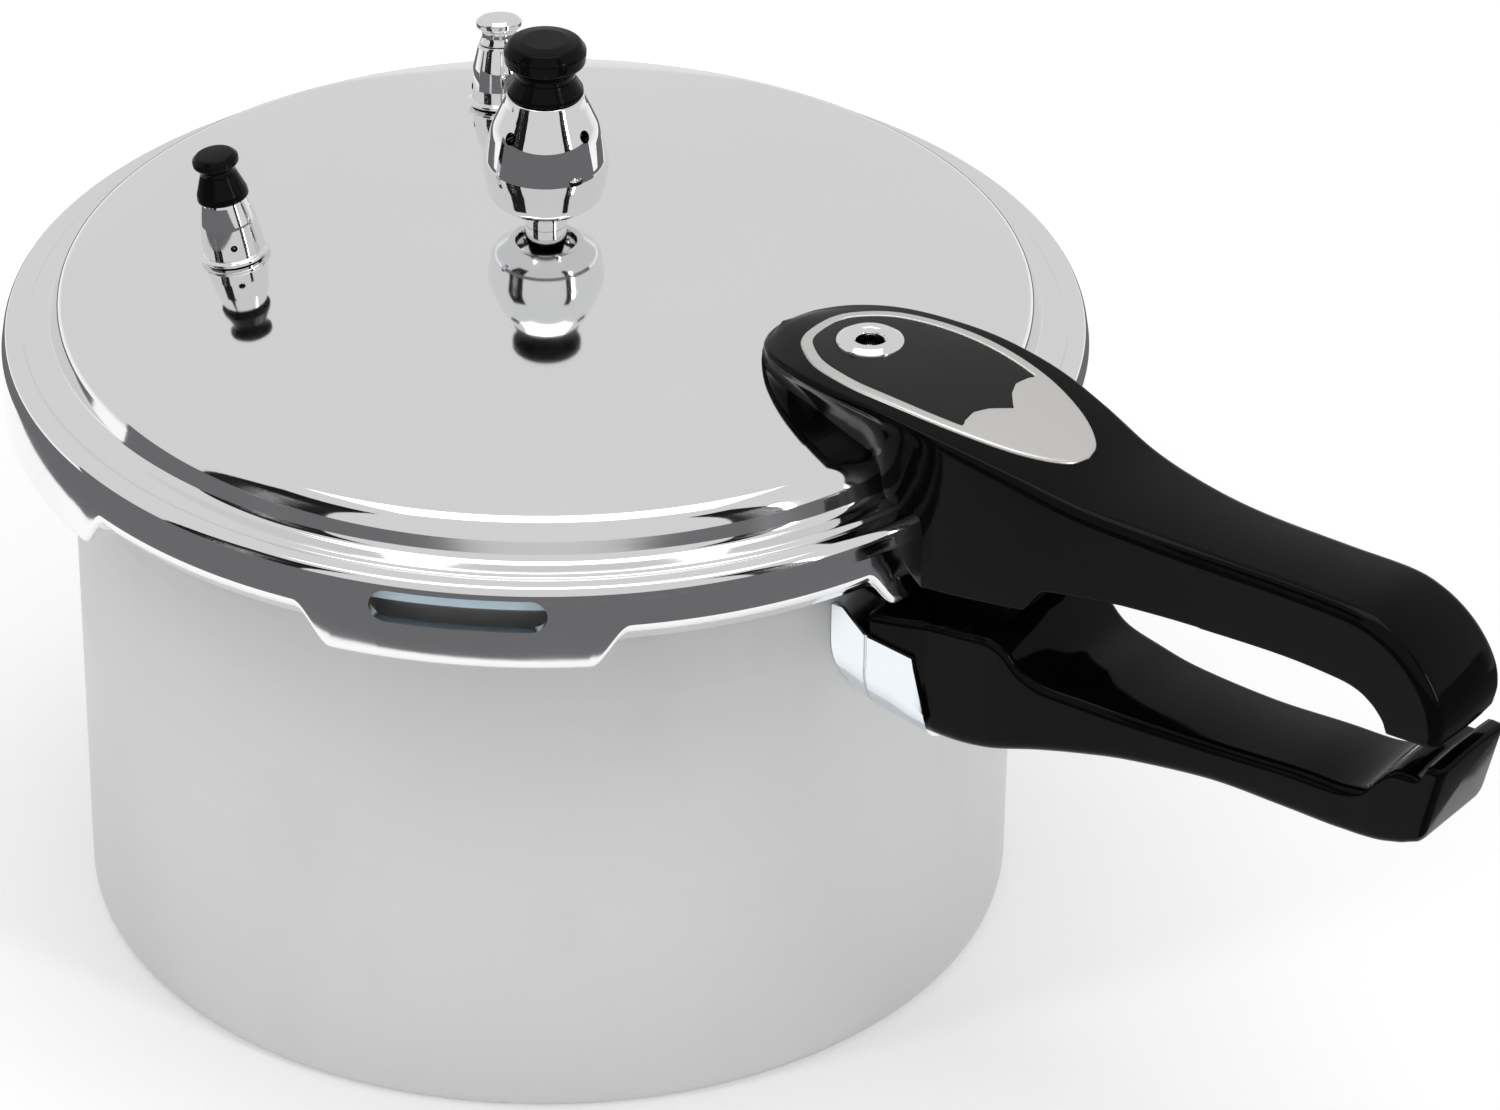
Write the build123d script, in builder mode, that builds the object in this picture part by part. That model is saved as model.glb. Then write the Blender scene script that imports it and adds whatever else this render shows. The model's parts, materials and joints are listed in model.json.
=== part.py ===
from build123d import *
import os
from math import cos, radians, sin, sqrt

os.makedirs("parts", exist_ok=True)

# Stovetop pressure cooker with a bayonet lid. Millimetres. Z is the pot's axis, the origin is the
# centre of its flat base, and both handles run along +X. Sections are (radius, height) points.

# ---- Driving dimensions ---------------------------------------------------------------------
pot_radius = 110.0
pot_wall = 2.8
base_thickness = 4.0
rim_top = 140.5  # the pot's rim, which the gasket seals on
rim_radius = 113.0  # rim flange between its lugs
pot_lug_radius = 118.6
pot_lug_half_width = 26.5

lug_count = 6
lug_pitch = 360 / lug_count
lid_radius = 125.2
lid_sheet = 2.3
lid_crown = 170.2
dome_radius = 458.0
dome_edge = 100.0
lid_lug_half_width = 34.8
lid_lug_bottom = 127.5
lid_lip_reach = 114.0  # how far in the lid's lugs turn under the pot's lugs

handle_end = 252.6
regulator_bottom = 174.6
small_valve_radius = 71.0  # from the pot's axis
safety_azimuth = -137.5
exhaust_azimuth = 137.5
float_radius = 92.0

gap = 0.3  # left between parts that move past each other
screw_radius = 2.0
hole_play = 0.05


# ---- Shared ways of making a piece ----------------------------------------------------------
def turned(outline, plane=Plane.XZ, axis=Axis.Z):
    """A piece turned on a lathe, from half of its section."""
    with BuildPart() as piece:
        with BuildSketch(plane):
            with BuildLine():
                Polyline(outline, close=True)
            make_face()
        revolve(axis=axis)
    return piece


def block(x, y, z):
    """A plain rectangular block between the given pairs of coordinates."""
    with BuildPart() as piece:
        with BuildSketch(Plane.XY.offset(z[0])):
            with Locations(((x[0] + x[1]) / 2, (y[0] + y[1]) / 2)):
                Rectangle(x[1] - x[0], y[1] - y[0])
        extrude(amount=z[1] - z[0])
    return piece


def rod(radius, bottom, top, x=0.0, y=0.0):
    """A plain upright cylinder."""
    with BuildPart() as piece:
        with BuildSketch(Plane.XY.offset(bottom)):
            with Locations((x, y)):
                Circle(radius)
        extrude(amount=top - bottom)
    return piece


def hex_nut(across_flats, hole_radius, bottom, top, plane=Plane.XY):
    """A hexagonal nut with a plain hole, standing on the given plane."""
    with BuildPart() as piece:
        with BuildSketch(plane.offset(bottom)):
            RegularPolygon(across_flats / 2, 6, major_radius=False)
            Circle(hole_radius, mode=Mode.SUBTRACT)
        extrude(amount=top - bottom)
    return piece


def radial_prisms(half_width, bottom, top, corner, azimuths):
    """Prisms that point outwards from the axis, with rounded lower corners."""
    with BuildPart() as prisms:
        for azimuth in azimuths:
            outwards = Plane(
                origin=(0, 0, 0),
                x_dir=(-sin(radians(azimuth)), cos(radians(azimuth)), 0),
                z_dir=(cos(radians(azimuth)), sin(radians(azimuth)), 0),
            )
            with BuildSketch(outwards) as face:
                with Locations((0, (bottom + top) / 2)):
                    Rectangle(2 * half_width, top - bottom)
                lower_corners = face.vertices().group_by(Axis.Y)[0]
                fillet(lower_corners, corner)
            extrude(amount=pot_radius + 40)
    return prisms


def dome_height(radius):
    """Height of the lid's outside over its domed middle."""
    return lid_crown - dome_radius + sqrt(dome_radius**2 - radius**2)


def leaning_frame(azimuth, radius):
    """Section plane and axis of a fitting that stands square on the dome: x outwards, y along."""
    lean = radius / dome_radius
    foot = (
        radius * cos(radians(azimuth)),
        radius * sin(radians(azimuth)),
        dome_height(radius),
    )
    up = Vector(lean * cos(radians(azimuth)), lean * sin(radians(azimuth)), sqrt(1 - lean**2))
    across = Vector(-sin(radians(azimuth)), cos(radians(azimuth)), 0)
    section = Plane(origin=foot, x_dir=up.cross(across), z_dir=across)
    return section, Axis(foot, up), Plane(origin=foot, x_dir=across, z_dir=up)


# ---- Pot: a deep-drawn bowl with a turned-out rim that carries six lugs ----------------------
inner_radius = pot_radius - pot_wall
with BuildPart() as pot_bowl:
    with BuildSketch(Plane.XZ) as pot_section:
        with BuildLine():
            Polyline(
                (0, 0),
                (pot_radius, 0),
                (pot_radius, rim_top - 3.2),
                (rim_radius, rim_top - 3.2),
                (rim_radius, rim_top),
                (inner_radius, rim_top),
                (inner_radius, base_thickness),
                (0, base_thickness),
                close=True,
            )
        make_face()
        fillet(pot_section.vertices().sort_by_distance((pot_radius, 0))[0], 3.5)
        fillet(pot_section.vertices().sort_by_distance((inner_radius, base_thickness))[0], 5.0)
        fillet(pot_section.vertices().sort_by_distance((rim_radius, rim_top))[0], 0.8)
    revolve(axis=Axis.Z)

lug_azimuths = [lug_pitch * i for i in range(lug_count)]
pot_lug_prisms = radial_prisms(pot_lug_half_width, rim_top - 12, rim_top + 5, 3.0, lug_azimuths)
pot_lug_ring = turned(
    [
        (inner_radius + 1, rim_top - 3.2),
        (115.6, rim_top - 3.2),
        (115.6, rim_top - 9.3),
        (pot_lug_radius, rim_top - 9.3),
        (pot_lug_radius, rim_top),
        (inner_radius + 1, rim_top),
    ]
)
with BuildPart() as pot_lugs:
    add(pot_lug_ring.part)
    add(pot_lug_prisms.part, mode=Mode.INTERSECT)

rivet_azimuth = 6.0
rivet_heights = (99.0, 115.0)
rivet_radius = 2.0


def wall_rivet_planes():
    """Planes at the pot wall's four rivets, facing outwards."""
    planes = []
    for azimuth in (-rivet_azimuth, rivet_azimuth):
        for height in rivet_heights:
            outwards = (cos(radians(azimuth)), sin(radians(azimuth)), 0)
            planes.append(Plane(origin=(0, 0, height), x_dir=(0, 0, 1), z_dir=outwards))
    return planes


with BuildPart() as wall_rivet_holes:
    for wall_plane in wall_rivet_planes():
        with BuildSketch(wall_plane.offset(inner_radius - 4)):
            Circle(rivet_radius)
        extrude(amount=pot_wall + 8)

with BuildPart() as pot_body:
    add(pot_bowl.part)
    add(pot_lugs.part)
    add(wall_rivet_holes.part, mode=Mode.SUBTRACT)
pot_body.part.label = "pot_body"
export_step(pot_body.part, "parts/pot_body.step")

# ---- Pot handle bracket: a curved steel pad riveted to the wall, with an arm for the handle ---
pad_thickness = 2.0
pad_outside = pot_radius + pad_thickness
pad_bottom, pad_top = 95.4, 120.0
arm_bottom, arm_top = 103.0, 106.0
arm_end = 139.0
pot_screw_x = 131.0

with BuildPart() as pot_bracket:
    add(
        turned(
            [
                (pot_radius, pad_bottom),
                (pad_outside, pad_bottom),
                (pad_outside, pad_top),
                (pot_radius, pad_top),
            ]
        ).part
    )
    add(block((100, 125), (-17, 17), (80, 130)).part, mode=Mode.INTERSECT)
    add(block((pot_radius + 1, arm_end), (-8, 8), (arm_bottom, arm_top)).part)
    add(rod(screw_radius + 0.7, 100, 110, x=pot_screw_x).part, mode=Mode.SUBTRACT)
    add(wall_rivet_holes.part, mode=Mode.SUBTRACT)
pot_bracket.part.label = "pot_bracket"
export_step(pot_bracket.part, "parts/pot_bracket.step")

with BuildPart() as pot_bracket_rivets:
    for wall_plane in wall_rivet_planes():
        with BuildSketch(wall_plane.offset(inner_radius - 0.1)):
            Circle(rivet_radius)
        extrude(amount=pad_outside - inner_radius + 0.2)
        with BuildSketch(wall_plane.offset(inner_radius - 1.3)):
            Circle(3.8)
        extrude(amount=1.2)
        with BuildSketch(wall_plane.offset(pad_outside + 0.05)):
            Circle(3.4)
        extrude(amount=1.4)
pot_bracket_rivets.part.label = "pot_bracket_rivets"
export_step(pot_bracket_rivets.part, "parts/pot_bracket_rivets.step")

# ---- Lower handle: phenolic moulding, flared where it meets the wall, with a tail saddle ------
lower_top = [
    (141.5, 122.4),
    (146.5, 116.2),
    (152.5, 113.2),
    (162.0, 112.6),
    (174.0, 111.6),
    (195.0, 113.0),
    (216.0, 114.8),
    (231.0, 115.6),
    (236.5, 117.6),
    (240.0, 122.5),
    (243.5, 125.3),
]
lower_bottom = [
    (249.0, 108.4),
    (240.0, 105.0),
    (228.0, 103.6),
    (212.0, 103.4),
    (189.0, 102.6),
    (172.0, 100.2),
    (156.0, 96.6),
    (142.0, 93.0),
    (124.0, 89.4),
]
root_top = 121.0
flare_end = 124.0
flare_wall_x = 103.0

with BuildPart() as lower_bar:
    with BuildSketch(Plane.XZ):
        with BuildLine():
            crest = Polyline((flare_end, root_top), (138.0, root_top + 1.5), lower_top[0])
            dip = Spline(lower_top)
            saddle = Polyline(
                lower_top[-1],
                (250.0, 125.6),
                (250.6, 129.5),
                (254.4, 129.5),
                (255.8, 127.0),
                (254.5, 118.0),
            )
            tail = Line((254.5, 118.0), lower_bottom[0])
            belly = Spline(lower_bottom)
            back = Line(lower_bottom[-1], (flare_end, root_top))
        make_face()
    extrude(amount=40, both=True)
    with BuildSketch(Plane.XY.offset(60)):
        with BuildLine():
            near = Spline(
                (flare_end, -21.0),
                (142.0, -20.0),
                (155.0, -17.2),
                (172.0, -14.2),
                (190.0, -13.0),
                (215.0, -12.6),
                (240.0, -12.8),
                (256.0, -13.0),
            )
            Line((256.0, -13.0), (256.0, 13.0))
            mirror(near, about=Plane.XZ)
            Line((flare_end, 21.0), (flare_end, -21.0))
        make_face()
    extrude(amount=100, mode=Mode.INTERSECT)


def flare(inset):
    """The flared root of the lower handle, from the pot's wall out to the bar."""
    with BuildPart() as piece:
        for x, half_width, bottom, corner in (
            (flare_wall_x, 33.0, 96.5, 20.0),
            (112.0, 27.0, 91.0, 15.0),
            (flare_end + 0.6, 22.0, 88.4, 8.0),
        ):
            with BuildSketch(Plane(origin=(x, 0, 0), x_dir=(0, 1, 0), z_dir=(1, 0, 0))) as rib:
                with Locations((0, (bottom + inset + root_top) / 2)):
                    Rectangle(2 * (half_width - inset), root_top - bottom - inset)
                fillet(rib.vertices().group_by(Axis.Y)[0], corner)
        loft(ruled=True)
    return piece


pot_space = rod(pot_radius + gap, 60, 140)
guard_sheet = 0.9
flare_core = flare(guard_sheet + 0.05)
flare_skin = flare(0.0)
bracket_recess = turned([(pot_radius, 80), (116, 80), (116, 121.5), (pot_radius, 121.5)])
with BuildPart() as pad_recess:
    add(bracket_recess.part)
    add(block((100, 125), (-19, 19), (70, 130)).part, mode=Mode.INTERSECT)

with BuildPart() as lower_handle:
    add(lower_bar.part)
    add(flare_core.part)
    add(block((117, 140), (-12, 12), (118, 126.8)).part)
    add(pot_space.part, mode=Mode.SUBTRACT)
    add(pad_recess.part, mode=Mode.SUBTRACT)
    add(block((110, arm_end + 0.4), (-8.2, 8.2), (arm_bottom - 0.1, arm_top + 0.1)).part, mode=Mode.SUBTRACT)
    add(block((110, pot_screw_x + 5), (-5.2, 5.2), (arm_top, arm_top + 4.4)).part, mode=Mode.SUBTRACT)
    add(rod(screw_radius + 0.6, 80, arm_top, x=pot_screw_x).part, mode=Mode.SUBTRACT)
    add(rod(4.6, 80, 95.2, x=pot_screw_x).part, mode=Mode.SUBTRACT)
lower_handle.part.label = "lower_handle"
export_step(lower_handle.part, "parts/lower_handle.step")

# ---- Heat guard: a chromed sheet wrapped round the lower handle's root -----------------------
with BuildPart() as guard_blank:
    add(flare_skin.part)
    with BuildSketch(Plane.XZ):
        with BuildLine():
            Polyline(
                (100, 60),
                (100, 127.5),
                (107.5, 123.8),
                (111.6, 115.6),
                (121.0, 111.2),
                (123.9, 95.0),
                (123.9, 60),
                close=True,
            )
        make_face()
    extrude(amount=60, both=True, mode=Mode.INTERSECT)
with BuildPart() as heat_guard:
    add(guard_blank.part)
    add(flare(guard_sheet).part, mode=Mode.SUBTRACT)
    add(rod(pot_radius + 0.05, 60, 140).part, mode=Mode.SUBTRACT)
heat_guard.part.label = "heat_guard"
export_step(heat_guard.part, "parts/heat_guard.step")

# ---- Lower handle screw and nut ---------------------------------------------------------------
screw_head_height = 2.2
with BuildPart() as lower_handle_screw:
    add(rod(screw_radius + 0.5, 94.0, arm_top + 4.0, x=pot_screw_x).part)
    add(rod(4.2, 95.2 - screw_head_height, 95.2, x=pot_screw_x).part)
lower_handle_screw.part.label = "lower_handle_screw"
export_step(lower_handle_screw.part, "parts/lower_handle_screw.step")

lower_handle_nut = hex_nut(8.0, screw_radius + 0.55, 0.0, 3.6, Plane((pot_screw_x, 0, arm_top)))
lower_handle_nut.part.label = "lower_handle_nut"
export_step(lower_handle_nut.part, "parts/lower_handle_nut.step")

# ---- Lid: pressed dome, a step down to a shoulder, a bead and a skirt with six lugs ------------
skirt_inside = lid_radius - lid_sheet
bevel_corner = (112.4, 155.7)
step_corner = (113.6, 149.0)
with BuildPart() as lid_dome:
    with BuildSketch(Plane.XZ) as lid_section:
        with BuildLine():
            ThreePointArc(
                (0, lid_crown),
                (dome_edge / 2, dome_height(dome_edge / 2)),
                (dome_edge, dome_height(dome_edge)),
            )
            Polyline(
                (dome_edge, dome_height(dome_edge)),
                bevel_corner,
                step_corner,
                (118.4, 148.4),
                (119.4, 147.6),
                (120.8, 148.1),
            )
            JernArc((120.8, 148.1), (1, 0), 4.4, -90)
            Polyline(
                (lid_radius, 143.7),
                (lid_radius, 139.6),
                (124.6, 136.8),
                (121.9, 133.6),
                (119.9, 134.4),
                (122.2, 137.4),
                (skirt_inside, 140.2),
                (skirt_inside, 145.7),
                (111.2, 145.7),
                (110.0, 153.4),
                (dome_edge, dome_height(dome_edge) - lid_sheet),
            )
            ThreePointArc(
                (dome_edge, dome_height(dome_edge) - lid_sheet),
                (dome_edge / 2, dome_height(dome_edge / 2) - lid_sheet),
                (0, lid_crown - lid_sheet),
            )
            Line((0, lid_crown - lid_sheet), (0, lid_crown))
        make_face()
        fillet(lid_section.vertices().sort_by_distance(bevel_corner)[0], 3.6)
        fillet(lid_section.vertices().sort_by_distance(step_corner)[0], 1.6)
    revolve(axis=Axis.Z)

lid_lip_top = lid_lug_bottom + 2.6
lid_lug_ring = turned(
    [
        (lid_radius, 143.0),
        (lid_radius, lid_lug_bottom + 1.6),
        (lid_radius - 1.6, lid_lug_bottom),
        (lid_lip_reach, lid_lug_bottom),
        (lid_lip_reach, lid_lip_top),
        (skirt_inside, lid_lip_top),
        (skirt_inside, 143.0),
    ]
)
lid_lug_prisms = radial_prisms(lid_lug_half_width, lid_lug_bottom - 0.1, 150, 5.5, lug_azimuths)
with BuildPart() as lid_lugs:
    add(lid_lug_ring.part)
    add(lid_lug_prisms.part, mode=Mode.INTERSECT)

lug_inside_ring = turned(
    [
        (lid_lip_reach, lid_lip_top),
        (skirt_inside, lid_lip_top),
        (skirt_inside, 140.4),
        (lid_lip_reach, 140.4),
    ]
)
lug_inside_prisms = radial_prisms(lid_lug_half_width - 3, lid_lug_bottom, 150, 5.5, lug_azimuths)
with BuildPart() as lug_inside:
    add(lug_inside_ring.part)
    add(lug_inside_prisms.part, mode=Mode.INTERSECT)

window_azimuth = -60.0
window_length, window_height, window_middle = 39.0, 7.6, 141.4
window_plane = Plane(
    origin=(0, 0, window_middle),
    x_dir=(-sin(radians(window_azimuth)), cos(radians(window_azimuth)), 0),
    z_dir=(cos(radians(window_azimuth)), sin(radians(window_azimuth)), 0),
)
with BuildPart() as window_cutter:
    with BuildSketch(window_plane.offset(skirt_inside - 8)):
        SlotOverall(window_length, window_height)
    extrude(amount=20)

safety_section, safety_axis, safety_foot = leaning_frame(safety_azimuth, small_valve_radius)
exhaust_section, exhaust_axis, exhaust_foot = leaning_frame(exhaust_azimuth, small_valve_radius)
spigot_radius = 4.0
vent_radius = 4.2
float_guide_radius = 4.4
lid_screw_x = 103.0
bracket_screw_x = 139.0
skirt_rivet_y, skirt_rivet_z = 7.5, 137.4


def along_x(radius, start, end, y, z):
    """A plain cylinder along X."""
    with BuildPart() as piece:
        with BuildSketch(Plane(origin=(start, y, z), x_dir=(0, 1, 0), z_dir=(1, 0, 0))):
            Circle(radius)
        extrude(amount=end - start)
    return piece


def on_axis(radius, bottom, top, foot):
    """A plain cylinder along a leaning fitting's axis, measured from the lid's outside."""
    with BuildPart() as piece:
        with BuildSketch(foot.offset(bottom)):
            Circle(radius)
        extrude(amount=top - bottom)
    return piece


with BuildPart() as lid_shell:
    add(lid_dome.part)
    add(lid_lugs.part)
    add(lug_inside.part, mode=Mode.SUBTRACT)
    add(window_cutter.part, mode=Mode.SUBTRACT)
    add(rod(vent_radius + hole_play, 160, 175).part, mode=Mode.SUBTRACT)
    add(on_axis(spigot_radius + hole_play, -6, 4, safety_foot).part, mode=Mode.SUBTRACT)
    add(on_axis(spigot_radius + hole_play, -6, 4, exhaust_foot).part, mode=Mode.SUBTRACT)
    add(rod(float_guide_radius + hole_play, 150, 168, x=float_radius).part, mode=Mode.SUBTRACT)
    add(rod(screw_radius + 0.2, 150, 165, x=lid_screw_x).part, mode=Mode.SUBTRACT)
    for rivet_y in (-skirt_rivet_y, skirt_rivet_y):
        add(along_x(screw_radius, 118, 128, rivet_y, skirt_rivet_z).part, mode=Mode.SUBTRACT)
lid_shell.part.label = "lid_shell"
export_step(lid_shell.part, "parts/lid_shell.step")

# ---- Gasket: a silicone ring in the lid's groove, pressed on the rim ----------------------------
lid_gasket = turned(
    [
        (108.0, rim_top + gap),
        (121.6, rim_top + gap),
        (121.6, 145.4),
        (112.6, 145.4),
        (111.2, 143.0),
        (108.0, 142.5),
    ]
)
lid_gasket.part.label = "lid_gasket"
export_step(lid_gasket.part, "parts/lid_gasket.step")

# ---- Vent pipe at the lid's centre, with its washer, nut and strainer ---------------------------
lid_under = lid_crown - lid_sheet
pipe_top = 189.6
pipe_bore = 1.4
vent_pipe = turned(
    [
        (pipe_bore, lid_under - 9.0),
        (vent_radius, lid_under - 9.0),
        (vent_radius, lid_crown),
        (4.8, lid_crown + 0.02),
        (4.8, lid_crown + 4.0),
        (vent_radius, lid_crown + 4.6),
        (vent_radius, pipe_top - 2.0),
        (2.6, pipe_top),
        (pipe_bore, pipe_top),
    ]
)
vent_pipe.part.label = "vent_pipe"
export_step(vent_pipe.part, "parts/vent_pipe.step")

vent_pipe_washer = turned(
    [
        (vent_radius + hole_play, lid_under - 0.1),
        (7.5, lid_under - 0.1),
        (7.5, lid_under - 1.6),
        (vent_radius + hole_play, lid_under - 1.6),
    ]
)
vent_pipe_washer.part.label = "vent_pipe_washer"
export_step(vent_pipe_washer.part, "parts/vent_pipe_washer.step")

vent_pipe_nut = hex_nut(13.0, vent_radius + hole_play, lid_under - 5.2, lid_under - 1.65)
vent_pipe_nut.part.label = "vent_pipe_nut"
export_step(vent_pipe_nut.part, "parts/vent_pipe_nut.step")

strainer_top = lid_under - 5.4
with BuildPart() as vent_strainer:
    add(
        turned(
            [
                (vent_radius + hole_play, strainer_top),
                (7.0, strainer_top),
                (7.0, strainer_top - 8.0),
                (5.5, strainer_top - 9.6),
                (0, strainer_top - 9.6),
                (0, strainer_top - 8.4),
                (5.0, strainer_top - 8.4),
                (5.9, strainer_top - 7.4),
                (5.9, strainer_top - 1.2),
                (vent_radius + hole_play, strainer_top - 1.2),
            ]
        ).part
    )
    for slot_turn in (0, 60, 120):
        slot_plane = Plane(
            origin=(0, 0, strainer_top - 4.6),
            x_dir=(0, 0, 1),
            z_dir=(cos(radians(slot_turn)), sin(radians(slot_turn)), 0),
        )
        with BuildSketch(slot_plane):
            SlotOverall(4.6, 1.6)
        extrude(amount=10, both=True, mode=Mode.SUBTRACT)
vent_strainer.part.label = "vent_strainer"
export_step(vent_strainer.part, "parts/vent_strainer.step")

# ---- Regulator: a loose weight on the vent pipe, with its needle and heat-proof cap --------------
regulator_shoulder = 203.3
with BuildPart() as regulator_weight:
    with BuildSketch(Plane.XZ):
        with BuildLine():
            Spline(
                (8.4, regulator_bottom),
                (11.5, regulator_bottom + 2.0),
                (13.5, regulator_bottom + 6.0),
                (14.1, regulator_bottom + 11.6),
                (13.2, regulator_bottom + 17.0),
                (11.3, regulator_bottom + 22.6),
                (8.9, regulator_shoulder),
            )
            Polyline(
                (8.9, regulator_shoulder),
                (2.2, regulator_shoulder),
                (2.2, regulator_shoulder - 3.3),
                (4.9, regulator_shoulder - 4.6),
                (4.9, regulator_bottom + 7.6),
                (7.2, regulator_bottom + 5.4),
                (7.2, regulator_bottom),
                (8.4, regulator_bottom),
            )
        make_face()
    revolve(axis=Axis.Z)
    for hole_azimuth in (-3.0, 87.0, 177.0, 267.0):
        hole_plane = Plane(
            origin=(0, 0, 196.2),
            x_dir=(0, 0, 1),
            z_dir=(cos(radians(hole_azimuth)), sin(radians(hole_azimuth)), 0),
        )
        with BuildSketch(hole_plane.offset(3.0)):
            Circle(1.4)
        extrude(amount=14, mode=Mode.SUBTRACT)
regulator_weight.part.label = "regulator_weight"
export_step(regulator_weight.part, "parts/regulator_weight.step")

regulator_needle = turned(
    [
        (0, pipe_top + 0.1),
        (0.9, pipe_top + 0.1),
        (2.1, pipe_top + 2.4),
        (2.1, regulator_shoulder + 3.5),
        (0, regulator_shoulder + 3.5),
    ]
)
regulator_needle.part.label = "regulator_needle"
export_step(regulator_needle.part, "parts/regulator_needle.step")

cap_neck = 207.8
cap_top = 216.8
regulator_cap = turned(
    [
        (2.2, regulator_shoulder + 0.1),
        (8.9, regulator_shoulder + 0.1),
        (8.7, regulator_shoulder + 1.2),
        (6.8, cap_neck - 0.4),
        (6.9, cap_neck + 0.8),
        (8.7, cap_neck + 2.8),
        (9.4, cap_neck + 5.2),
        (9.3, cap_neck + 6.6),
        (8.4, cap_neck + 7.8),
        (6.4, cap_top - 0.5),
        (3.2, cap_top - 0.1),
        (0, cap_top),
        (0, regulator_shoulder + 3.6),
        (2.2, regulator_shoulder + 3.6),
    ]
)
regulator_cap.part.label = "regulator_cap"
export_step(regulator_cap.part, "parts/regulator_cap.step")


# ---- The two small spring valves: barrel, washer, nut, spring, stem and knob --------------------
def along(section, axis, outline):
    """A turned piece of a leaning fitting, measured from where its axis meets the lid."""
    return turned(outline, section, axis)


def valve_barrel(section, axis):
    """A hollow barrel with a flange ring and a threaded spigot through the lid."""
    return along(
        section,
        axis,
        [
            (1.7, -10.0),
            (spigot_radius, -10.0),
            (spigot_radius, 0.0),
            (7.9, 0.35),
            (8.1, 0.9),
            (7.2, 1.5),
            (6.8, 5.0),
            (6.2, 10.0),
            (5.1, 15.0),
            (1.9, 15.0),
            (1.9, 13.4),
            (4.2, 12.6),
            (4.2, 1.4),
            (1.7, 1.4),
        ],
    )


def with_ports(barrel, foot):
    """The barrel with its two small steam ports, on either side just above the flange ring."""
    port_height, port_radius = 5.0, 0.8
    with BuildPart() as piece:
        add(barrel.part)
        for port_turn in (4.0, 184.0):
            port_plane = Plane(
                origin=foot.offset(port_height).origin,
                x_dir=foot.z_dir,
                z_dir=foot.x_dir.rotate(Axis((0, 0, 0), foot.z_dir), port_turn),
            )
            with BuildSketch(port_plane.offset(3.0)):
                Circle(port_radius)
            extrude(amount=6, mode=Mode.SUBTRACT)
    return piece


def valve_spring(foot):
    """The coil spring that holds a small valve shut."""
    coil_radius, wire_radius, turns = 3.2, 0.4, 6
    bottom, top = 3.8, 12.0
    with BuildPart() as piece:
        with BuildLine():
            Helix((top - bottom) / turns, top - bottom, coil_radius, center=(0, 0, bottom))
        with BuildSketch(Plane(origin=(coil_radius, 0, bottom), x_dir=(1, 0, 0), z_dir=(0, 1, 0))):
            Circle(wire_radius)
        sweep(is_frenet=True)
    placed = foot.location * piece.part
    with BuildPart() as spring:
        add(placed)
    return spring


def valve_stem(section, axis, top):
    """The stem, whose disc closes the barrel's floor and which carries the knob."""
    return along(
        section,
        axis,
        [(0, 1.5), (3.9, 1.5), (3.9, 3.2), (1.5, 3.2), (1.5, top), (0, top)],
    )


def ring_under(section, axis, outer, top, bottom):
    """A flat ring on the spigot, against the lid's underside."""
    inner = spigot_radius + hole_play
    return along(section, axis, [(inner, top), (outer, top), (outer, bottom), (inner, bottom)])


lid_under_foot = -lid_sheet - 0.15
safety_valve_body = with_ports(valve_barrel(safety_section, safety_axis), safety_foot)
safety_valve_body.part.label = "safety_valve_body"
export_step(safety_valve_body.part, "parts/safety_valve_body.step")

safety_valve_washer = ring_under(safety_section, safety_axis, 7.0, lid_under_foot, lid_under_foot - 1.5)
safety_valve_washer.part.label = "safety_valve_washer"
export_step(safety_valve_washer.part, "parts/safety_valve_washer.step")

safety_valve_nut = hex_nut(
    12.0, spigot_radius + hole_play, lid_under_foot - 5.0, lid_under_foot - 1.55, safety_foot
)
safety_valve_nut.part.label = "safety_valve_nut"
export_step(safety_valve_nut.part, "parts/safety_valve_nut.step")

safety_valve_spring = valve_spring(safety_foot)
safety_valve_spring.part.label = "safety_valve_spring"
export_step(safety_valve_spring.part, "parts/safety_valve_spring.step")

safety_stem_top, safety_cap_top = 21.0, 26.4
safety_valve_stem = valve_stem(safety_section, safety_axis, safety_stem_top)
safety_valve_stem.part.label = "safety_valve_stem"
export_step(safety_valve_stem.part, "parts/safety_valve_stem.step")

safety_valve_cap = along(
    safety_section,
    safety_axis,
    [
        (1.55, 15.2),
        (6.0, 15.2),
        (5.9, 16.6),
        (4.2, 21.4),
        (4.2, 22.4),
        (5.2, 23.8),
        (5.3, 24.9),
        (4.4, 25.9),
        (0, safety_cap_top),
        (0, safety_stem_top + 0.1),
        (1.55, safety_stem_top + 0.1),
    ],
)
safety_valve_cap.part.label = "safety_valve_cap"
export_step(safety_valve_cap.part, "parts/safety_valve_cap.step")

exhaust_valve_body = with_ports(valve_barrel(exhaust_section, exhaust_axis), exhaust_foot)
exhaust_valve_body.part.label = "exhaust_valve_body"
export_step(exhaust_valve_body.part, "parts/exhaust_valve_body.step")

exhaust_valve_washer = ring_under(exhaust_section, exhaust_axis, 7.0, lid_under_foot, lid_under_foot - 1.5)
exhaust_valve_washer.part.label = "exhaust_valve_washer"
export_step(exhaust_valve_washer.part, "parts/exhaust_valve_washer.step")

exhaust_valve_nut = hex_nut(
    12.0, spigot_radius + hole_play, lid_under_foot - 5.0, lid_under_foot - 1.55, exhaust_foot
)
exhaust_valve_nut.part.label = "exhaust_valve_nut"
export_step(exhaust_valve_nut.part, "parts/exhaust_valve_nut.step")

exhaust_valve_spring = valve_spring(exhaust_foot)
exhaust_valve_spring.part.label = "exhaust_valve_spring"
export_step(exhaust_valve_spring.part, "parts/exhaust_valve_spring.step")

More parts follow.
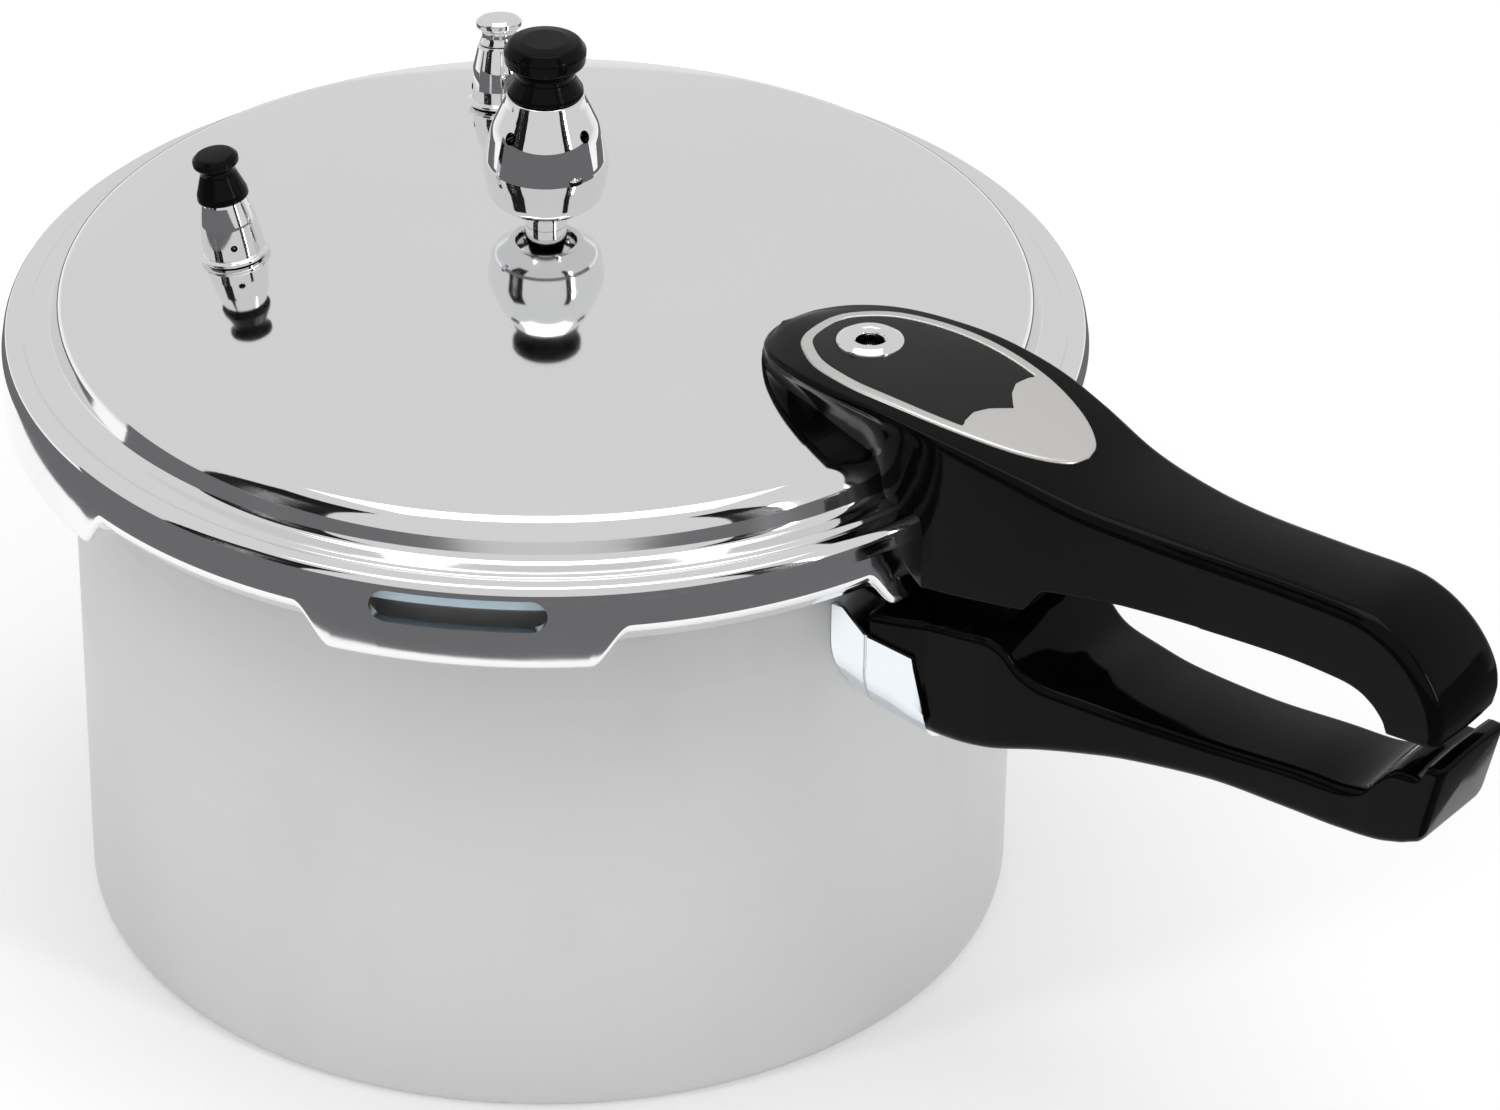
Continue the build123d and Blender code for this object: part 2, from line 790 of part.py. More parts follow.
exhaust_stem_top, exhaust_knob_top = 18.4, 21.7
exhaust_valve_stem = valve_stem(exhaust_section, exhaust_axis, exhaust_stem_top)
exhaust_valve_stem.part.label = "exhaust_valve_stem"
export_step(exhaust_valve_stem.part, "parts/exhaust_valve_stem.step")

exhaust_valve_knob = along(
    exhaust_section,
    exhaust_axis,
    [
        (1.55, 15.2),
        (4.9, 15.2),
        (4.1, 16.8),
        (4.0, 18.2),
        (4.9, 19.2),
        (5.4, 20.2),
        (5.2, 21.0),
        (4.2, 21.4),
        (0, exhaust_knob_top),
        (0, exhaust_stem_top + 0.1),
        (1.55, exhaust_stem_top + 0.1),
    ],
)
exhaust_valve_knob.part.label = "exhaust_valve_knob"
export_step(exhaust_valve_knob.part, "parts/exhaust_valve_knob.step")

# ---- Float: the pressure pin that rises under the handle's eyelet --------------------------------
guide_top = 163.9
guide_bottom = 153.8
float_centre = Plane(origin=(float_radius, 0, 0), x_dir=(1, 0, 0), z_dir=(0, -1, 0))
float_axis = Axis((float_radius, 0, 0), (0, 0, 1))
float_guide = turned(
    [
        (2.2, guide_bottom),
        (float_guide_radius, guide_bottom),
        (float_guide_radius, guide_top - 1.4),
        (6.0, guide_top - 1.4),
        (6.0, guide_top),
        (2.2, guide_top),
    ],
    float_centre,
    float_axis,
)
float_guide.part.label = "float_guide"
export_step(float_guide.part, "parts/float_guide.step")

float_guide_nut = hex_nut(
    11.0, float_guide_radius + hole_play, 154.0, 156.6, Plane((float_radius, 0, 0))
)
float_guide_nut.part.label = "float_guide_nut"
export_step(float_guide_nut.part, "parts/float_guide_nut.step")

float_pin = turned(
    [
        (0, 145.6),
        (4.8, 145.6),
        (4.8, 147.0),
        (2.1, 147.0),
        (2.1, guide_top + 0.05),
        (2.9, guide_top + 0.05),
        (2.9, 166.0),
        (2.4, 166.6),
        (0, 166.8),
    ],
    float_centre,
    float_axis,
)
float_pin.part.label = "float_pin"
export_step(float_pin.part, "parts/float_pin.step")

float_seal = turned(
    [(2.15, 147.05), (4.6, 147.05), (4.6, 148.9), (2.15, 148.9)], float_centre, float_axis
)
float_seal.part.label = "float_seal"
export_step(float_seal.part, "parts/float_seal.step")

# ---- Upper handle: phenolic moulding that saddles the lid's edge and hooks down at its tail ------
handle_crest = [
    (62.0, 167.6),
    (79.0, 170.2),
    (94.0, 170.8),
    (108.0, 170.5),
    (118.0, 169.6),
    (127.0, 168.3),
    (136.0, 166.6),
    (145.0, 164.1),
    (153.0, 162.0),
    (162.0, 160.3),
    (173.0, 159.4),
    (188.0, 158.9),
    (205.0, 159.1),
    (220.0, 159.9),
    (229.0, 159.9),
    (238.0, 158.0),
    (245.0, 153.6),
    (250.0, 147.6),
    (handle_end, 140.5),
    (251.4, 132.4),
]
handle_underside = [
    (238.8, 132.4),
    (237.6, 136.2),
    (234.0, 139.6),
    (227.0, 141.2),
    (212.0, 141.2),
    (190.0, 140.0),
    (171.0, 139.2),
    (158.0, 138.6),
    (151.4, 136.0),
    (148.6, 131.4),
]
lid_clearance = 0.2
with BuildPart() as lid_space:
    with BuildSketch(Plane.XZ):
        with BuildLine():
            ThreePointArc(
                (0, lid_crown + lid_clearance),
                (dome_edge / 2, dome_height(dome_edge / 2) + lid_clearance),
                (dome_edge, dome_height(dome_edge) + lid_clearance),
            )
            Polyline(
                (dome_edge, dome_height(dome_edge) + lid_clearance),
                (bevel_corner[0] + 0.4, bevel_corner[1] + lid_clearance),
                (step_corner[0] + 0.4, step_corner[1] + lid_clearance),
                (121.0, 148.6),
                (124.6, 147.0),
                (lid_radius + lid_clearance, 144.2),
                (lid_radius + lid_clearance, 120.0),
                (0, 120.0),
                (0, lid_crown + lid_clearance),
            )
        make_face()
    revolve(axis=Axis.Z)


def crest_band(low, high):
    """A sheet that follows the upper handle's top between two heights above it."""
    run = [point for point in handle_crest if point[0] < 165 and point[1] > 150]
    with BuildPart() as piece:
        with BuildSketch(Plane.XZ):
            with BuildLine():
                upper = Spline([(x, z + high) for x, z in run])
                lower = Spline([(x, z + low) for x, z in run])
                Line(upper @ 0, lower @ 0)
                Line(upper @ 1, lower @ 1)
            make_face()
        extrude(amount=40, both=True)
    return piece


badge_side = [
    (77.0, 0.0),
    (79.8, 9.4),
    (87.6, 15.3),
    (98.0, 18.1),
    (108.0, 18.7),
    (120.0, 17.9),
    (132.0, 15.4),
    (142.6, 11.0),
    (149.2, 5.2),
    (151.2, 0.0),
]


def egg(inset):
    """The badge's egg-shaped outline, drawn in by the given amount square to its edge."""
    start = Vector(badge_side[1][0], -badge_side[1][1])
    end = Vector(badge_side[-2][0], -badge_side[-2][1])
    side = [start] + [Vector(x, y) for x, y in badge_side] + [end]
    drawn_in = []
    for before, here, after in zip(side, side[1:], side[2:]):
        along_edge = (after - before).normalized()
        drawn_in.append(here + Vector(along_edge.Y, -along_edge.X) * inset)
    with BuildPart() as piece:
        with BuildSketch(Plane.XY.offset(140)):
            with BuildLine():
                half = Spline(drawn_in)
                mirror(half, about=Plane.XZ)
            make_face()
        extrude(amount=50)
    return piece


with BuildPart() as handle_bar:
    with BuildSketch(Plane.XZ):
        with BuildLine():
            Spline(handle_crest)
            Line(handle_crest[-1], handle_underside[0])
            Spline(handle_underside)
            Polyline(handle_underside[-1], (125.5, 129.2), (62.0, 129.2), handle_crest[0])
        make_face()
    extrude(amount=40, both=True)
    with BuildSketch(Plane.XY.offset(120)):
        with BuildLine():
            side = Spline(
                (66.5, 0),
                (69.5, 9.6),
                (76.0, 15.8),
                (86.0, 19.8),
                (98.0, 21.9),
                (112.0, 22.7),
                (128.0, 22.0),
                (142.0, 19.9),
                (158.0, 16.8),
                (174.0, 14.2),
                (190.0, 12.7),
                (212.0, 12.2),
                (234.0, 12.6),
                (handle_end + 1, 13.0),
            )
            mirror(side, about=Plane.XZ)
            Line((handle_end + 1, 13.0), (handle_end + 1, -13.0))
        make_face()
    extrude(amount=60, mode=Mode.INTERSECT)

badge_blank = crest_band(-0.5, 0.6)
inlay_blank = crest_band(0.1, 0.75)
egg_outside = egg(0)
egg_inside = egg(2.7)
eyelet_hole = rod(7.85, 160, 180, x=float_radius)

with BuildPart() as badge_wings:
    with BuildSketch(Plane.XY.offset(140)):
        with BuildLine():
            Polyline((126.4, -13.4), (126.4, -30), (170, -30), (170, 30), (126.4, 30), (126.4, 13.4))
            Spline((126.4, 13.4), (126.0, 8.0), (129.6, 5.2), (130.8, 0))
            Spline((130.8, 0), (129.6, -5.2), (126.0, -8.0), (126.4, -13.4))
        make_face()
    extrude(amount=50)

with BuildPart() as badge_inlay:
    add(inlay_blank.part)
    add(egg_inside.part, mode=Mode.INTERSECT)
    add(badge_wings.part, mode=Mode.SUBTRACT)
    add(eyelet_hole.part, mode=Mode.SUBTRACT)
badge_inlay.part.label = "badge_inlay"
export_step(badge_inlay.part, "parts/badge_inlay.step")

with BuildPart() as handle_badge:
    add(badge_blank.part)
    add(egg_outside.part, mode=Mode.INTERSECT)
    add(badge_inlay.part, mode=Mode.SUBTRACT)
    add(eyelet_hole.part, mode=Mode.SUBTRACT)
handle_badge.part.label = "handle_badge"
export_step(handle_badge.part, "parts/handle_badge.step")

badge_pocket = crest_band(-0.5, 20)
with BuildPart() as badge_recess:
    add(badge_pocket.part)
    add(egg_outside.part, mode=Mode.INTERSECT)

arm_low, arm_high = 131.6, 134.2
with BuildPart() as upper_handle:
    add(handle_bar.part)
    add(lid_space.part, mode=Mode.SUBTRACT)
    add(badge_recess.part, mode=Mode.SUBTRACT)
    add(rod(7.4, 150, 168.2, x=float_radius).part, mode=Mode.SUBTRACT)
    add(rod(3.95, 160, 175, x=float_radius).part, mode=Mode.SUBTRACT)
    add(rod(screw_radius + hole_play, 150, 167.2, x=lid_screw_x).part, mode=Mode.SUBTRACT)
    add(block((120, 149), (-12.6, 12.6), (125, arm_high + 0.3)).part, mode=Mode.SUBTRACT)
    add(block((120, 131), (-12.6, 12.6), (125, 143.6)).part, mode=Mode.SUBTRACT)
    add(rod(screw_radius + hole_play, 130, 150.2, x=bracket_screw_x).part, mode=Mode.SUBTRACT)
upper_handle.part.label = "upper_handle"
export_step(upper_handle.part, "parts/upper_handle.step")

float_eyelet = turned(
    [
        (3.25, 168.0),
        (3.9, 168.0),
        (3.9, 170.9),
        (7.75, 170.95),
        (7.6, 171.6),
        (6.4, 172.4),
        (4.6, 172.7),
        (3.7, 172.5),
        (3.25, 171.9),
    ],
    float_centre,
    float_axis,
)
float_eyelet.part.label = "float_eyelet"
export_step(float_eyelet.part, "parts/float_eyelet.step")

# ---- Upper handle bracket, its rivets and the two handle screws -----------------------------------
lid_pad_outside = lid_radius + 2
lid_pad_ring = turned(
    [(lid_radius, 130.5), (lid_pad_outside, 130.5), (lid_pad_outside, 142.8), (lid_radius, 142.8)]
)
with BuildPart() as lid_bracket:
    add(lid_pad_ring.part)
    add(block((118, 130), (-12, 12), (120, 150)).part, mode=Mode.INTERSECT)
    add(block((lid_radius + 1, 147.5), (-10, 10), (arm_low, arm_high)).part)
    add(rod(screw_radius + 0.2, 120, 140, x=bracket_screw_x).part, mode=Mode.SUBTRACT)
    for rivet_y in (-skirt_rivet_y, skirt_rivet_y):
        add(along_x(screw_radius, 118, 130, rivet_y, skirt_rivet_z).part, mode=Mode.SUBTRACT)
lid_bracket.part.label = "lid_bracket"
export_step(lid_bracket.part, "parts/lid_bracket.step")

with BuildPart() as lid_bracket_rivets:
    for rivet_y in (-skirt_rivet_y, skirt_rivet_y):
        add(along_x(screw_radius, 121.4, 129.0, rivet_y, skirt_rivet_z).part)
        add(along_x(2.9, 127.25, 128.6, rivet_y, skirt_rivet_z).part)
        add(along_x(2.9, 121.2, 122.3, rivet_y, skirt_rivet_z).part)
lid_bracket_rivets.part.label = "lid_bracket_rivets"
export_step(lid_bracket_rivets.part, "parts/lid_bracket_rivets.step")

with BuildPart() as upper_handle_screws:
    add(rod(screw_radius, 152.6, 166.8, x=lid_screw_x).part)
    add(rod(3.9, 152.4, 154.6, x=lid_screw_x).part)
    add(rod(screw_radius, arm_low - 1, 149.8, x=bracket_screw_x).part)
    add(rod(3.9, arm_low - 2.3, arm_low - 0.1, x=bracket_screw_x).part)
upper_handle_screws.part.label = "upper_handle_screws"
export_step(upper_handle_screws.part, "parts/upper_handle_screws.step")
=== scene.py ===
import json
from math import atan2, cos, hypot, pi, radians, sin, sqrt, tan

import bmesh
import bpy
from mathutils import Matrix, Vector


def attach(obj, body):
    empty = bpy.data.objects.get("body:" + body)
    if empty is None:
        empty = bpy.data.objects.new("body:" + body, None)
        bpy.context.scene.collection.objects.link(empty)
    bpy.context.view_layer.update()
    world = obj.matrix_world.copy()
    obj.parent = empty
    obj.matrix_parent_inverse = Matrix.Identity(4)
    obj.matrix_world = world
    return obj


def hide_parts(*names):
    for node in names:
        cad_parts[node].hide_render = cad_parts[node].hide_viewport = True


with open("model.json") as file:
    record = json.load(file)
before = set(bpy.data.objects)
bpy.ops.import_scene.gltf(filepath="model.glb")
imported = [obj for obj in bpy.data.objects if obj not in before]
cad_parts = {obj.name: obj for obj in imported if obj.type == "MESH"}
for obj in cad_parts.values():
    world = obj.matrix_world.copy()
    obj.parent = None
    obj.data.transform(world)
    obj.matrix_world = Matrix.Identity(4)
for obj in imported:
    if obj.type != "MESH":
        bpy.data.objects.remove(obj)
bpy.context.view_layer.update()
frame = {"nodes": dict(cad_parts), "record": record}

# ---- Pot --------------------------------------------------------------------------------------
# The pot is drawn in one piece from aluminium sheet in a press. Its wall is brushed to a satin
# finish while it spins on a lathe, and six lugs are left standing out from the turned-over rim.
MM = 0.001
POT_RADIUS, POT_INSIDE, RIM_RADIUS, POT_LUG_RADIUS = 110.0, 107.2, 113.0, 118.6
RIM_TOP = 140.5
LUG_AZIMUTHS = [60 * turn for turn in range(6)]


class Value:
    """A number that changes over a surface. Sums and products of such numbers add Math nodes."""

    def __init__(self, finish, socket):
        self.finish = finish
        self.socket = socket

    def of(self, output):
        """Another output of the same node."""
        return Value(self.finish, self.socket.node.outputs[output])

    def maths(self, operation, first, second=0.0):
        return self.finish.node("ShaderNodeMath", {"operation": operation}, {0: first, 1: second})

    def __add__(self, other):
        return self.maths("ADD", self, other)

    def __radd__(self, other):
        return self.maths("ADD", other, self)

    def __sub__(self, other):
        return self.maths("SUBTRACT", self, other)

    def __rsub__(self, other):
        return self.maths("SUBTRACT", other, self)

    def __mul__(self, other):
        return self.maths("MULTIPLY", self, other)

    def __rmul__(self, other):
        return self.maths("MULTIPLY", other, self)

    def __pow__(self, other):
        return self.maths("POWER", self, other)


class Finish:
    """A surface finish: one shader, with the nodes that vary it over the surface."""

    def __init__(self, name, constants):
        self.material = bpy.data.materials.new(name)
        self.material.use_nodes = True
        self.nodes = self.material.node_tree.nodes
        self.shader = self.nodes["Principled BSDF"]
        for socket, value in constants.items():
            self.shader.inputs[socket].default_value = value
        self.place = self.node("ShaderNodeTexCoord").of("Object")

    def node(self, kind, settings=None, inputs=None, output=0):
        """Adds a node, makes its settings, then sets or links its sockets."""
        made = self.nodes.new(kind)
        for setting, value in (settings or {}).items():
            setattr(made, setting, value)
        for socket, value in (inputs or {}).items():
            self.feed(made.inputs[socket], value)
        return Value(self, made.outputs[output])

    def feed(self, socket, value):
        if isinstance(value, Value):
            self.material.node_tree.links.new(value.socket, socket)
        else:
            socket.default_value = value

    def vary(self, socket, value):
        self.feed(self.shader.inputs[socket], value)

    def noise(self, scale, detail=3.0, stretch=(1, 1, 1), where=None):
        """Soft noise from 0 to 1, finer for a larger scale, drawn out along an axis by a stretch."""
        place = self.node("ShaderNodeMapping", {}, {"Vector": where or self.place, "Scale": stretch})
        return self.node("ShaderNodeTexNoise", {}, {"Vector": place, "Scale": scale, "Detail": detail})

    def ramp(self, value, low, high, start=0.0, end=1.0):
        """The value stretched so that low becomes start and high becomes end."""
        sockets = {"Value": value, 1: low, 2: high, 3: start, 4: end}
        return self.node("ShaderNodeMapRange", {}, sockets)

    def mix(self, factor, first, second):
        """A colour between two colours."""
        return self.node("ShaderNodeMix", {"data_type": "RGBA"}, {0: factor, 6: first, 7: second}, 2)

    def around(self):
        """Where a point lies round the pot's axis: its bearing, its radius and its height."""
        x = self.node("ShaderNodeSeparateXYZ", {}, {0: self.place})
        y, z = x.of("Y"), x.of("Z")
        bearing = x.maths("ARCTAN2", y, x)
        radius = x.maths("SQRT", x * x + y * y)
        return bearing, radius, z

    def relief(self, height, depth, strength=1.0):
        """Small bumps of the given depth in metres."""
        bump = self.node("ShaderNodeBump", {}, {"Height": height, "Distance": depth, "Strength": strength})
        self.vary("Normal", bump)


def rounded(corners, steps=7):
    """An outline of (radius, height) points from corners given as (radius, height, rounding)."""
    points = []
    for place, (x, z, rounding) in enumerate(corners):
        here = Vector((x, z))
        if rounding == 0 or place in (0, len(corners) - 1):
            points.append((x, z))
            continue
        before = Vector(corners[place - 1][:2]) - here
        after = Vector(corners[place + 1][:2]) - here
        reach = rounding / tan(before.angle(after) / 2)
        start = here + before.normalized() * min(reach, 0.48 * before.length)
        end = here + after.normalized() * min(reach, 0.48 * after.length)
        for step in range(steps + 1):
            t = step / steps
            bent = start * (1 - t) ** 2 + here * (2 * t * (1 - t)) + end * t**2
            points.append((bent.x, bent.y))
    return points


def grid_piece(name, rings, finish, closed_ring, closed_run, sharp=38.0):
    """A mesh from rings of points in millimetres, smooth except where it turns sharply."""
    shape = bmesh.new()
    rows = [[shape.verts.new(Vector(point) * MM) for point in ring] for ring in rings]
    width = len(rows[0])
    for row in range(len(rows) if closed_run else len(rows) - 1):
        first, second = rows[row], rows[(row + 1) % len(rows)]
        for column in range(width if closed_ring else width - 1):
            after = (column + 1) % width
            shape.faces.new((first[column], first[after], second[after], second[column]))
    return finish_mesh(name, shape, finish, sharp)


def finish_mesh(name, shape, finish, sharp=38.0):
    """Welds, smooths and names a mesh, and gives it its finish."""
    bmesh.ops.remove_doubles(shape, verts=shape.verts, dist=0.002 * MM)
    bmesh.ops.dissolve_degenerate(shape, edges=shape.edges, dist=0.001 * MM)
    bmesh.ops.recalc_face_normals(shape, faces=shape.faces)
    for face in shape.faces:
        face.smooth = True
    for edge in shape.edges:
        if len(edge.link_faces) == 2 and edge.calc_face_angle() > radians(sharp):
            edge.smooth = False
    mesh = bpy.data.meshes.new(name)
    shape.to_mesh(mesh)
    shape.free()
    piece = bpy.data.objects.new(name, mesh)
    bpy.context.scene.collection.objects.link(piece)
    mesh.materials.append(finish.material)
    return piece


def spun(name, outline_at, finish, bearings, closed=False, sharp=38.0):
    """A piece turned round the pot's axis. Its outline may change with the bearing, in degrees."""
    rings = []
    for bearing in bearings:
        east, north = cos(radians(bearing)), sin(radians(bearing))
        rings.append([(r * east, r * north, z) for r, z in outline_at(bearing)])
    return grid_piece(name, rings, finish, closed, True, sharp)


def installed(piece, body, slot, *nodes):
    """The piece rides on its body and stands for its CAD nodes, which it hides. The slot is not used."""
    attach(piece, body)
    if nodes:
        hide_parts(*nodes)
    return piece


def smooth_step(value):
    value = min(max(value, 0.0), 1.0)
    return value * value * (3 - 2 * value)


def lug_share(bearing, half_angle, blend):
    """1 on a lug and 0 between lugs, with a soft change at the lug's ends, in degrees."""
    off = min(abs((bearing - lug + 180) % 360 - 180) for lug in LUG_AZIMUTHS)
    return 1 - smooth_step((off - half_angle + blend) / (2 * blend))


def bearings_round(half_angle, blend, coarse=1.5, fine=0.3):
    """Bearings all the way round, closer together where a lug begins or ends."""
    bearings, bearing = [], 0.0
    while bearing < 360 - 1e-6:
        bearings.append(bearing)
        off = min(abs((bearing - lug + 180) % 360 - 180) for lug in LUG_AZIMUTHS)
        bearing += fine if abs(off - half_angle) < blend + coarse else coarse
    return bearings


def blended(first, second, share):
    """An outline part of the way from the first to the second."""
    return [(a + (c - a) * share, b + (d - b) * share) for (a, b), (c, d) in zip(first, second)]


pot_finish = Finish("pot_aluminium", {"Metallic": 1.0, "Specular IOR Level": 0.5})
bearing, radius, height = pot_finish.around()
cloud = pot_finish.noise(9.0, 4.0)
lathe_place = pot_finish.node(
    "ShaderNodeCombineXYZ", {}, {0: bearing * 0.9, 1: radius * 900.0, 2: height * 900.0}
)
lathe_lines = pot_finish.noise(1.0, 5.0, where=lathe_place)
handling = pot_finish.ramp(pot_finish.noise(34.0, 6.0, stretch=(1, 1, 0.5)), 0.52, 0.75)
pot_tone = pot_finish.mix(cloud, (0.63, 0.63, 0.63, 1), (0.69, 0.69, 0.695, 1))
pot_finish.vary("Base Color", pot_finish.mix(handling * 0.12, pot_tone, (0.56, 0.55, 0.54, 1)))
pot_finish.vary("Roughness", 0.34 + lathe_lines * 0.09 + handling * 0.03)
pot_finish.relief(lathe_lines, 0.000010, 0.55)

rim_between = rounded(
    [
        (0, 0.15, 0), (60, 0.15, 3), (POT_RADIUS, 0, 4.2), (POT_RADIUS, 137.3, 0.6),
        (RIM_RADIUS - 0.5, 137.3, 0.4), (RIM_RADIUS, 138.2, 0.8), (RIM_RADIUS, RIM_TOP, 0.8),
        (POT_INSIDE, RIM_TOP, 0.8), (POT_INSIDE, 4.0, 6.0), (0, 4.0, 0),
    ]
)
rim_on_lug = rounded(
    [
        (0, 0.15, 0), (60, 0.15, 3), (POT_RADIUS, 0, 4.2), (POT_RADIUS, 131.4, 0.6),
        (POT_LUG_RADIUS, 131.4, 0.9), (POT_LUG_RADIUS, 134.0, 0.8), (POT_LUG_RADIUS, RIM_TOP, 0.8),
        (POT_INSIDE, RIM_TOP, 0.8), (POT_INSIDE, 4.0, 6.0), (0, 4.0, 0),
    ]
)
POT_LUG_HALF_ANGLE, POT_LUG_BLEND = 12.6, 1.3
pot = spun(
    "pot",
    lambda at: blended(rim_between, rim_on_lug, lug_share(at, POT_LUG_HALF_ANGLE, POT_LUG_BLEND)),
    pot_finish,
    bearings_round(POT_LUG_HALF_ANGLE, POT_LUG_BLEND),
)
installed(pot, "pot", "pot_aluminium", "pot_body")

# ---- Lid --------------------------------------------------------------------------------------
# The lid is pressed from thicker aluminium and buffed until it mirrors. A shallow dome steps down
# to a shoulder and a bead, and six lugs on its skirt turn under the pot's lugs to lock it.
LID_RADIUS, LID_SHEET, LID_CROWN, DOME_RADIUS, DOME_EDGE = 125.2, 2.3, 170.2, 458.0, 100.0
SKIRT_INSIDE = LID_RADIUS - LID_SHEET


def dome_height(radius):
    """Height of the lid's outside over its domed middle."""
    return LID_CROWN - DOME_RADIUS + sqrt(DOME_RADIUS**2 - radius**2)


lid_finish = Finish("lid_aluminium", {"Metallic": 1.0})
bearing, radius, height = lid_finish.around()
buff_place = lid_finish.node(
    "ShaderNodeCombineXYZ", {}, {0: bearing * 1.6, 1: radius * 1400.0, 2: height * 500.0}
)
buff_lines = lid_finish.noise(1.0, 4.0, where=buff_place)
haze = lid_finish.noise(14.0, 5.0)
lid_tone = lid_finish.mix(haze, (0.87, 0.87, 0.87, 1), (0.92, 0.92, 0.925, 1))
lid_finish.vary("Base Color", lid_tone)
lid_finish.vary("Roughness", 0.035 + lid_finish.ramp(haze, 0.35, 0.75, 0.0, 0.035) + buff_lines * 0.02)
lid_finish.relief(buff_lines, 0.000002, 0.35)

dome_outside = [(DOME_EDGE * step / 18, dome_height(DOME_EDGE * step / 18)) for step in range(19)]
lid_step = rounded(
    [
        (*dome_outside[-2], 0), (DOME_EDGE, dome_height(DOME_EDGE), 9.0), (111.6, 156.3, 6.5),
        (114.0, 148.7, 2.2), (118.3, 148.45, 0.9), (119.5, 147.5, 0.9), (120.6, 148.1, 0.8),
        (124.4, 147.9, 3.4), (LID_RADIUS, 143.0, 1.5), (LID_RADIUS, 140.8, 0),
    ],
    steps=9,
)[1:]
dome_inside = [(r, z - LID_SHEET) for r, z in reversed(dome_outside)]
groove_inside = rounded(
    [
        (SKIRT_INSIDE, 140.4, 0), (SKIRT_INSIDE, 145.7, 1.2), (111.2, 145.7, 1.5), (109.8, 153.8, 3.0),
        (DOME_EDGE, dome_height(DOME_EDGE) - LID_SHEET, 0),
    ]
)[:-1]
curl_between = rounded(
    [
        (LID_RADIUS, 140.6, 0), (LID_RADIUS, 137.4, 4.0), (121.9, 133.4, 1.0), (120.3, 133.5, 0.7),
        (120.6, 135.2, 0.8), (SKIRT_INSIDE, 138.6, 1.5), (SKIRT_INSIDE, 140.3, 0),
    ]
)[1:-1]
hook_on_lug = rounded(
    [
        (LID_RADIUS, 140.6, 0), (LID_RADIUS, 127.6, 2.6), (116.0, 127.5, 1.2), (114.0, 127.8, 0.8),
        (114.2, 130.1, 0.6), (SKIRT_INSIDE, 130.3, 1.2), (SKIRT_INSIDE, 140.3, 0),
    ]
)[1:-1]
LID_LUG_HALF_ANGLE, LID_LUG_BLEND = 15.2, 2.0


def lid_outline(at):
    """The lid's section at a bearing, from the middle of its top round to the middle underneath."""
    edge = blended(curl_between, hook_on_lug, lug_share(at, LID_LUG_HALF_ANGLE, LID_LUG_BLEND))
    return dome_outside[:-1] + lid_step + edge + groove_inside + dome_inside


lid_bearings = bearings_round(LID_LUG_HALF_ANGLE, LID_LUG_BLEND, coarse=1.2, fine=0.25)
lid = spun("lid", lid_outline, lid_finish, lid_bearings, sharp=50)

# A slot through one lug lets the gasket burst outwards if the pressure ever rises too far.
WINDOW_BEARING, WINDOW_LENGTH, WINDOW_HEIGHT, WINDOW_MIDDLE = -60.0, 39.0, 7.6, 141.4


def slot_cutter(name, length, height, start, end):
    """A prism with round ends that lies along X, from start to end, and is centred on the axis."""
    shape = bmesh.new()
    outline = []
    for side in (1, -1):
        for step in range(17):
            turn = radians(-90 + 180 * step / 16)
            along = side * (length - height) / 2 + side * cos(turn) * height / 2
            outline.append((along, side * sin(turn) * height / 2))
    ends = [[shape.verts.new(Vector((x, y, z)) * MM) for y, z in outline] for x in (start, end)]
    shape.faces.new(ends[0])
    shape.faces.new(reversed(ends[1]))
    for place in range(len(outline)):
        after = (place + 1) % len(outline)
        shape.faces.new((ends[0][after], ends[0][place], ends[1][place], ends[1][after]))
    return finish_mesh(name, shape, lid_finish)


def cut_out(piece, cutter, sharp=50.0):
    """Cuts one mesh out of another for good and removes the cutter."""
    cut = piece.modifiers.new("cut", "BOOLEAN")
    cut.operation = "DIFFERENCE"
    cut.solver = "EXACT"
    cut.object = cutter
    bpy.context.view_layer.update()
    evaluated = piece.evaluated_get(bpy.context.evaluated_depsgraph_get())
    whole = bpy.data.meshes.new_from_object(evaluated)
    piece.modifiers.clear()
    piece.data = whole
    shape = bmesh.new()
    shape.from_mesh(whole)
    for edge in shape.edges:
        if len(edge.link_faces) == 2 and edge.calc_face_angle() > radians(sharp):
            edge.smooth = False
    shape.to_mesh(whole)
    shape.free()
    bpy.data.objects.remove(cutter)


window_cutter = slot_cutter("window_cutter", WINDOW_LENGTH, WINDOW_HEIGHT, SKIRT_INSIDE - 7, LID_RADIUS + 6)
window_cutter.matrix_world = Matrix.Rotation(radians(WINDOW_BEARING), 4, "Z") @ Matrix.Translation(
    (0, 0, WINDOW_MIDDLE * MM)
)
cut_out(lid, window_cutter)
installed(lid, "lid", "lid_aluminium", "lid_shell")

# ---- Gasket -----------------------------------------------------------------------------------
# A moulded ring of blue-grey silicone lies in the lid's groove and is pressed on the pot's rim.
gasket_finish = Finish("gasket_silicone", {"IOR": 1.42, "Subsurface Weight": 0.12, "Subsurface Scale": 0.004})
mottle = gasket_finish.noise(60.0, 5.0)
gasket_finish.vary("Base Color", gasket_finish.mix(mottle, (0.36, 0.47, 0.54, 1), (0.47, 0.58, 0.65, 1)))
gasket_finish.vary("Roughness", 0.40 + mottle * 0.2)
gasket_finish.relief(gasket_finish.noise(900.0, 2.0), 0.000015, 0.4)
gasket_section = rounded(
    [
        (114, 140.9, 0), (121.6, 140.9, 0.5), (121.6, 145.3, 0.5), (112.6, 145.3, 0.8),
        (111.2, 143.2, 0.8), (108.2, 142.6, 0.5), (108.2, 140.9, 0.6), (113.9, 140.9, 0),
    ]
)
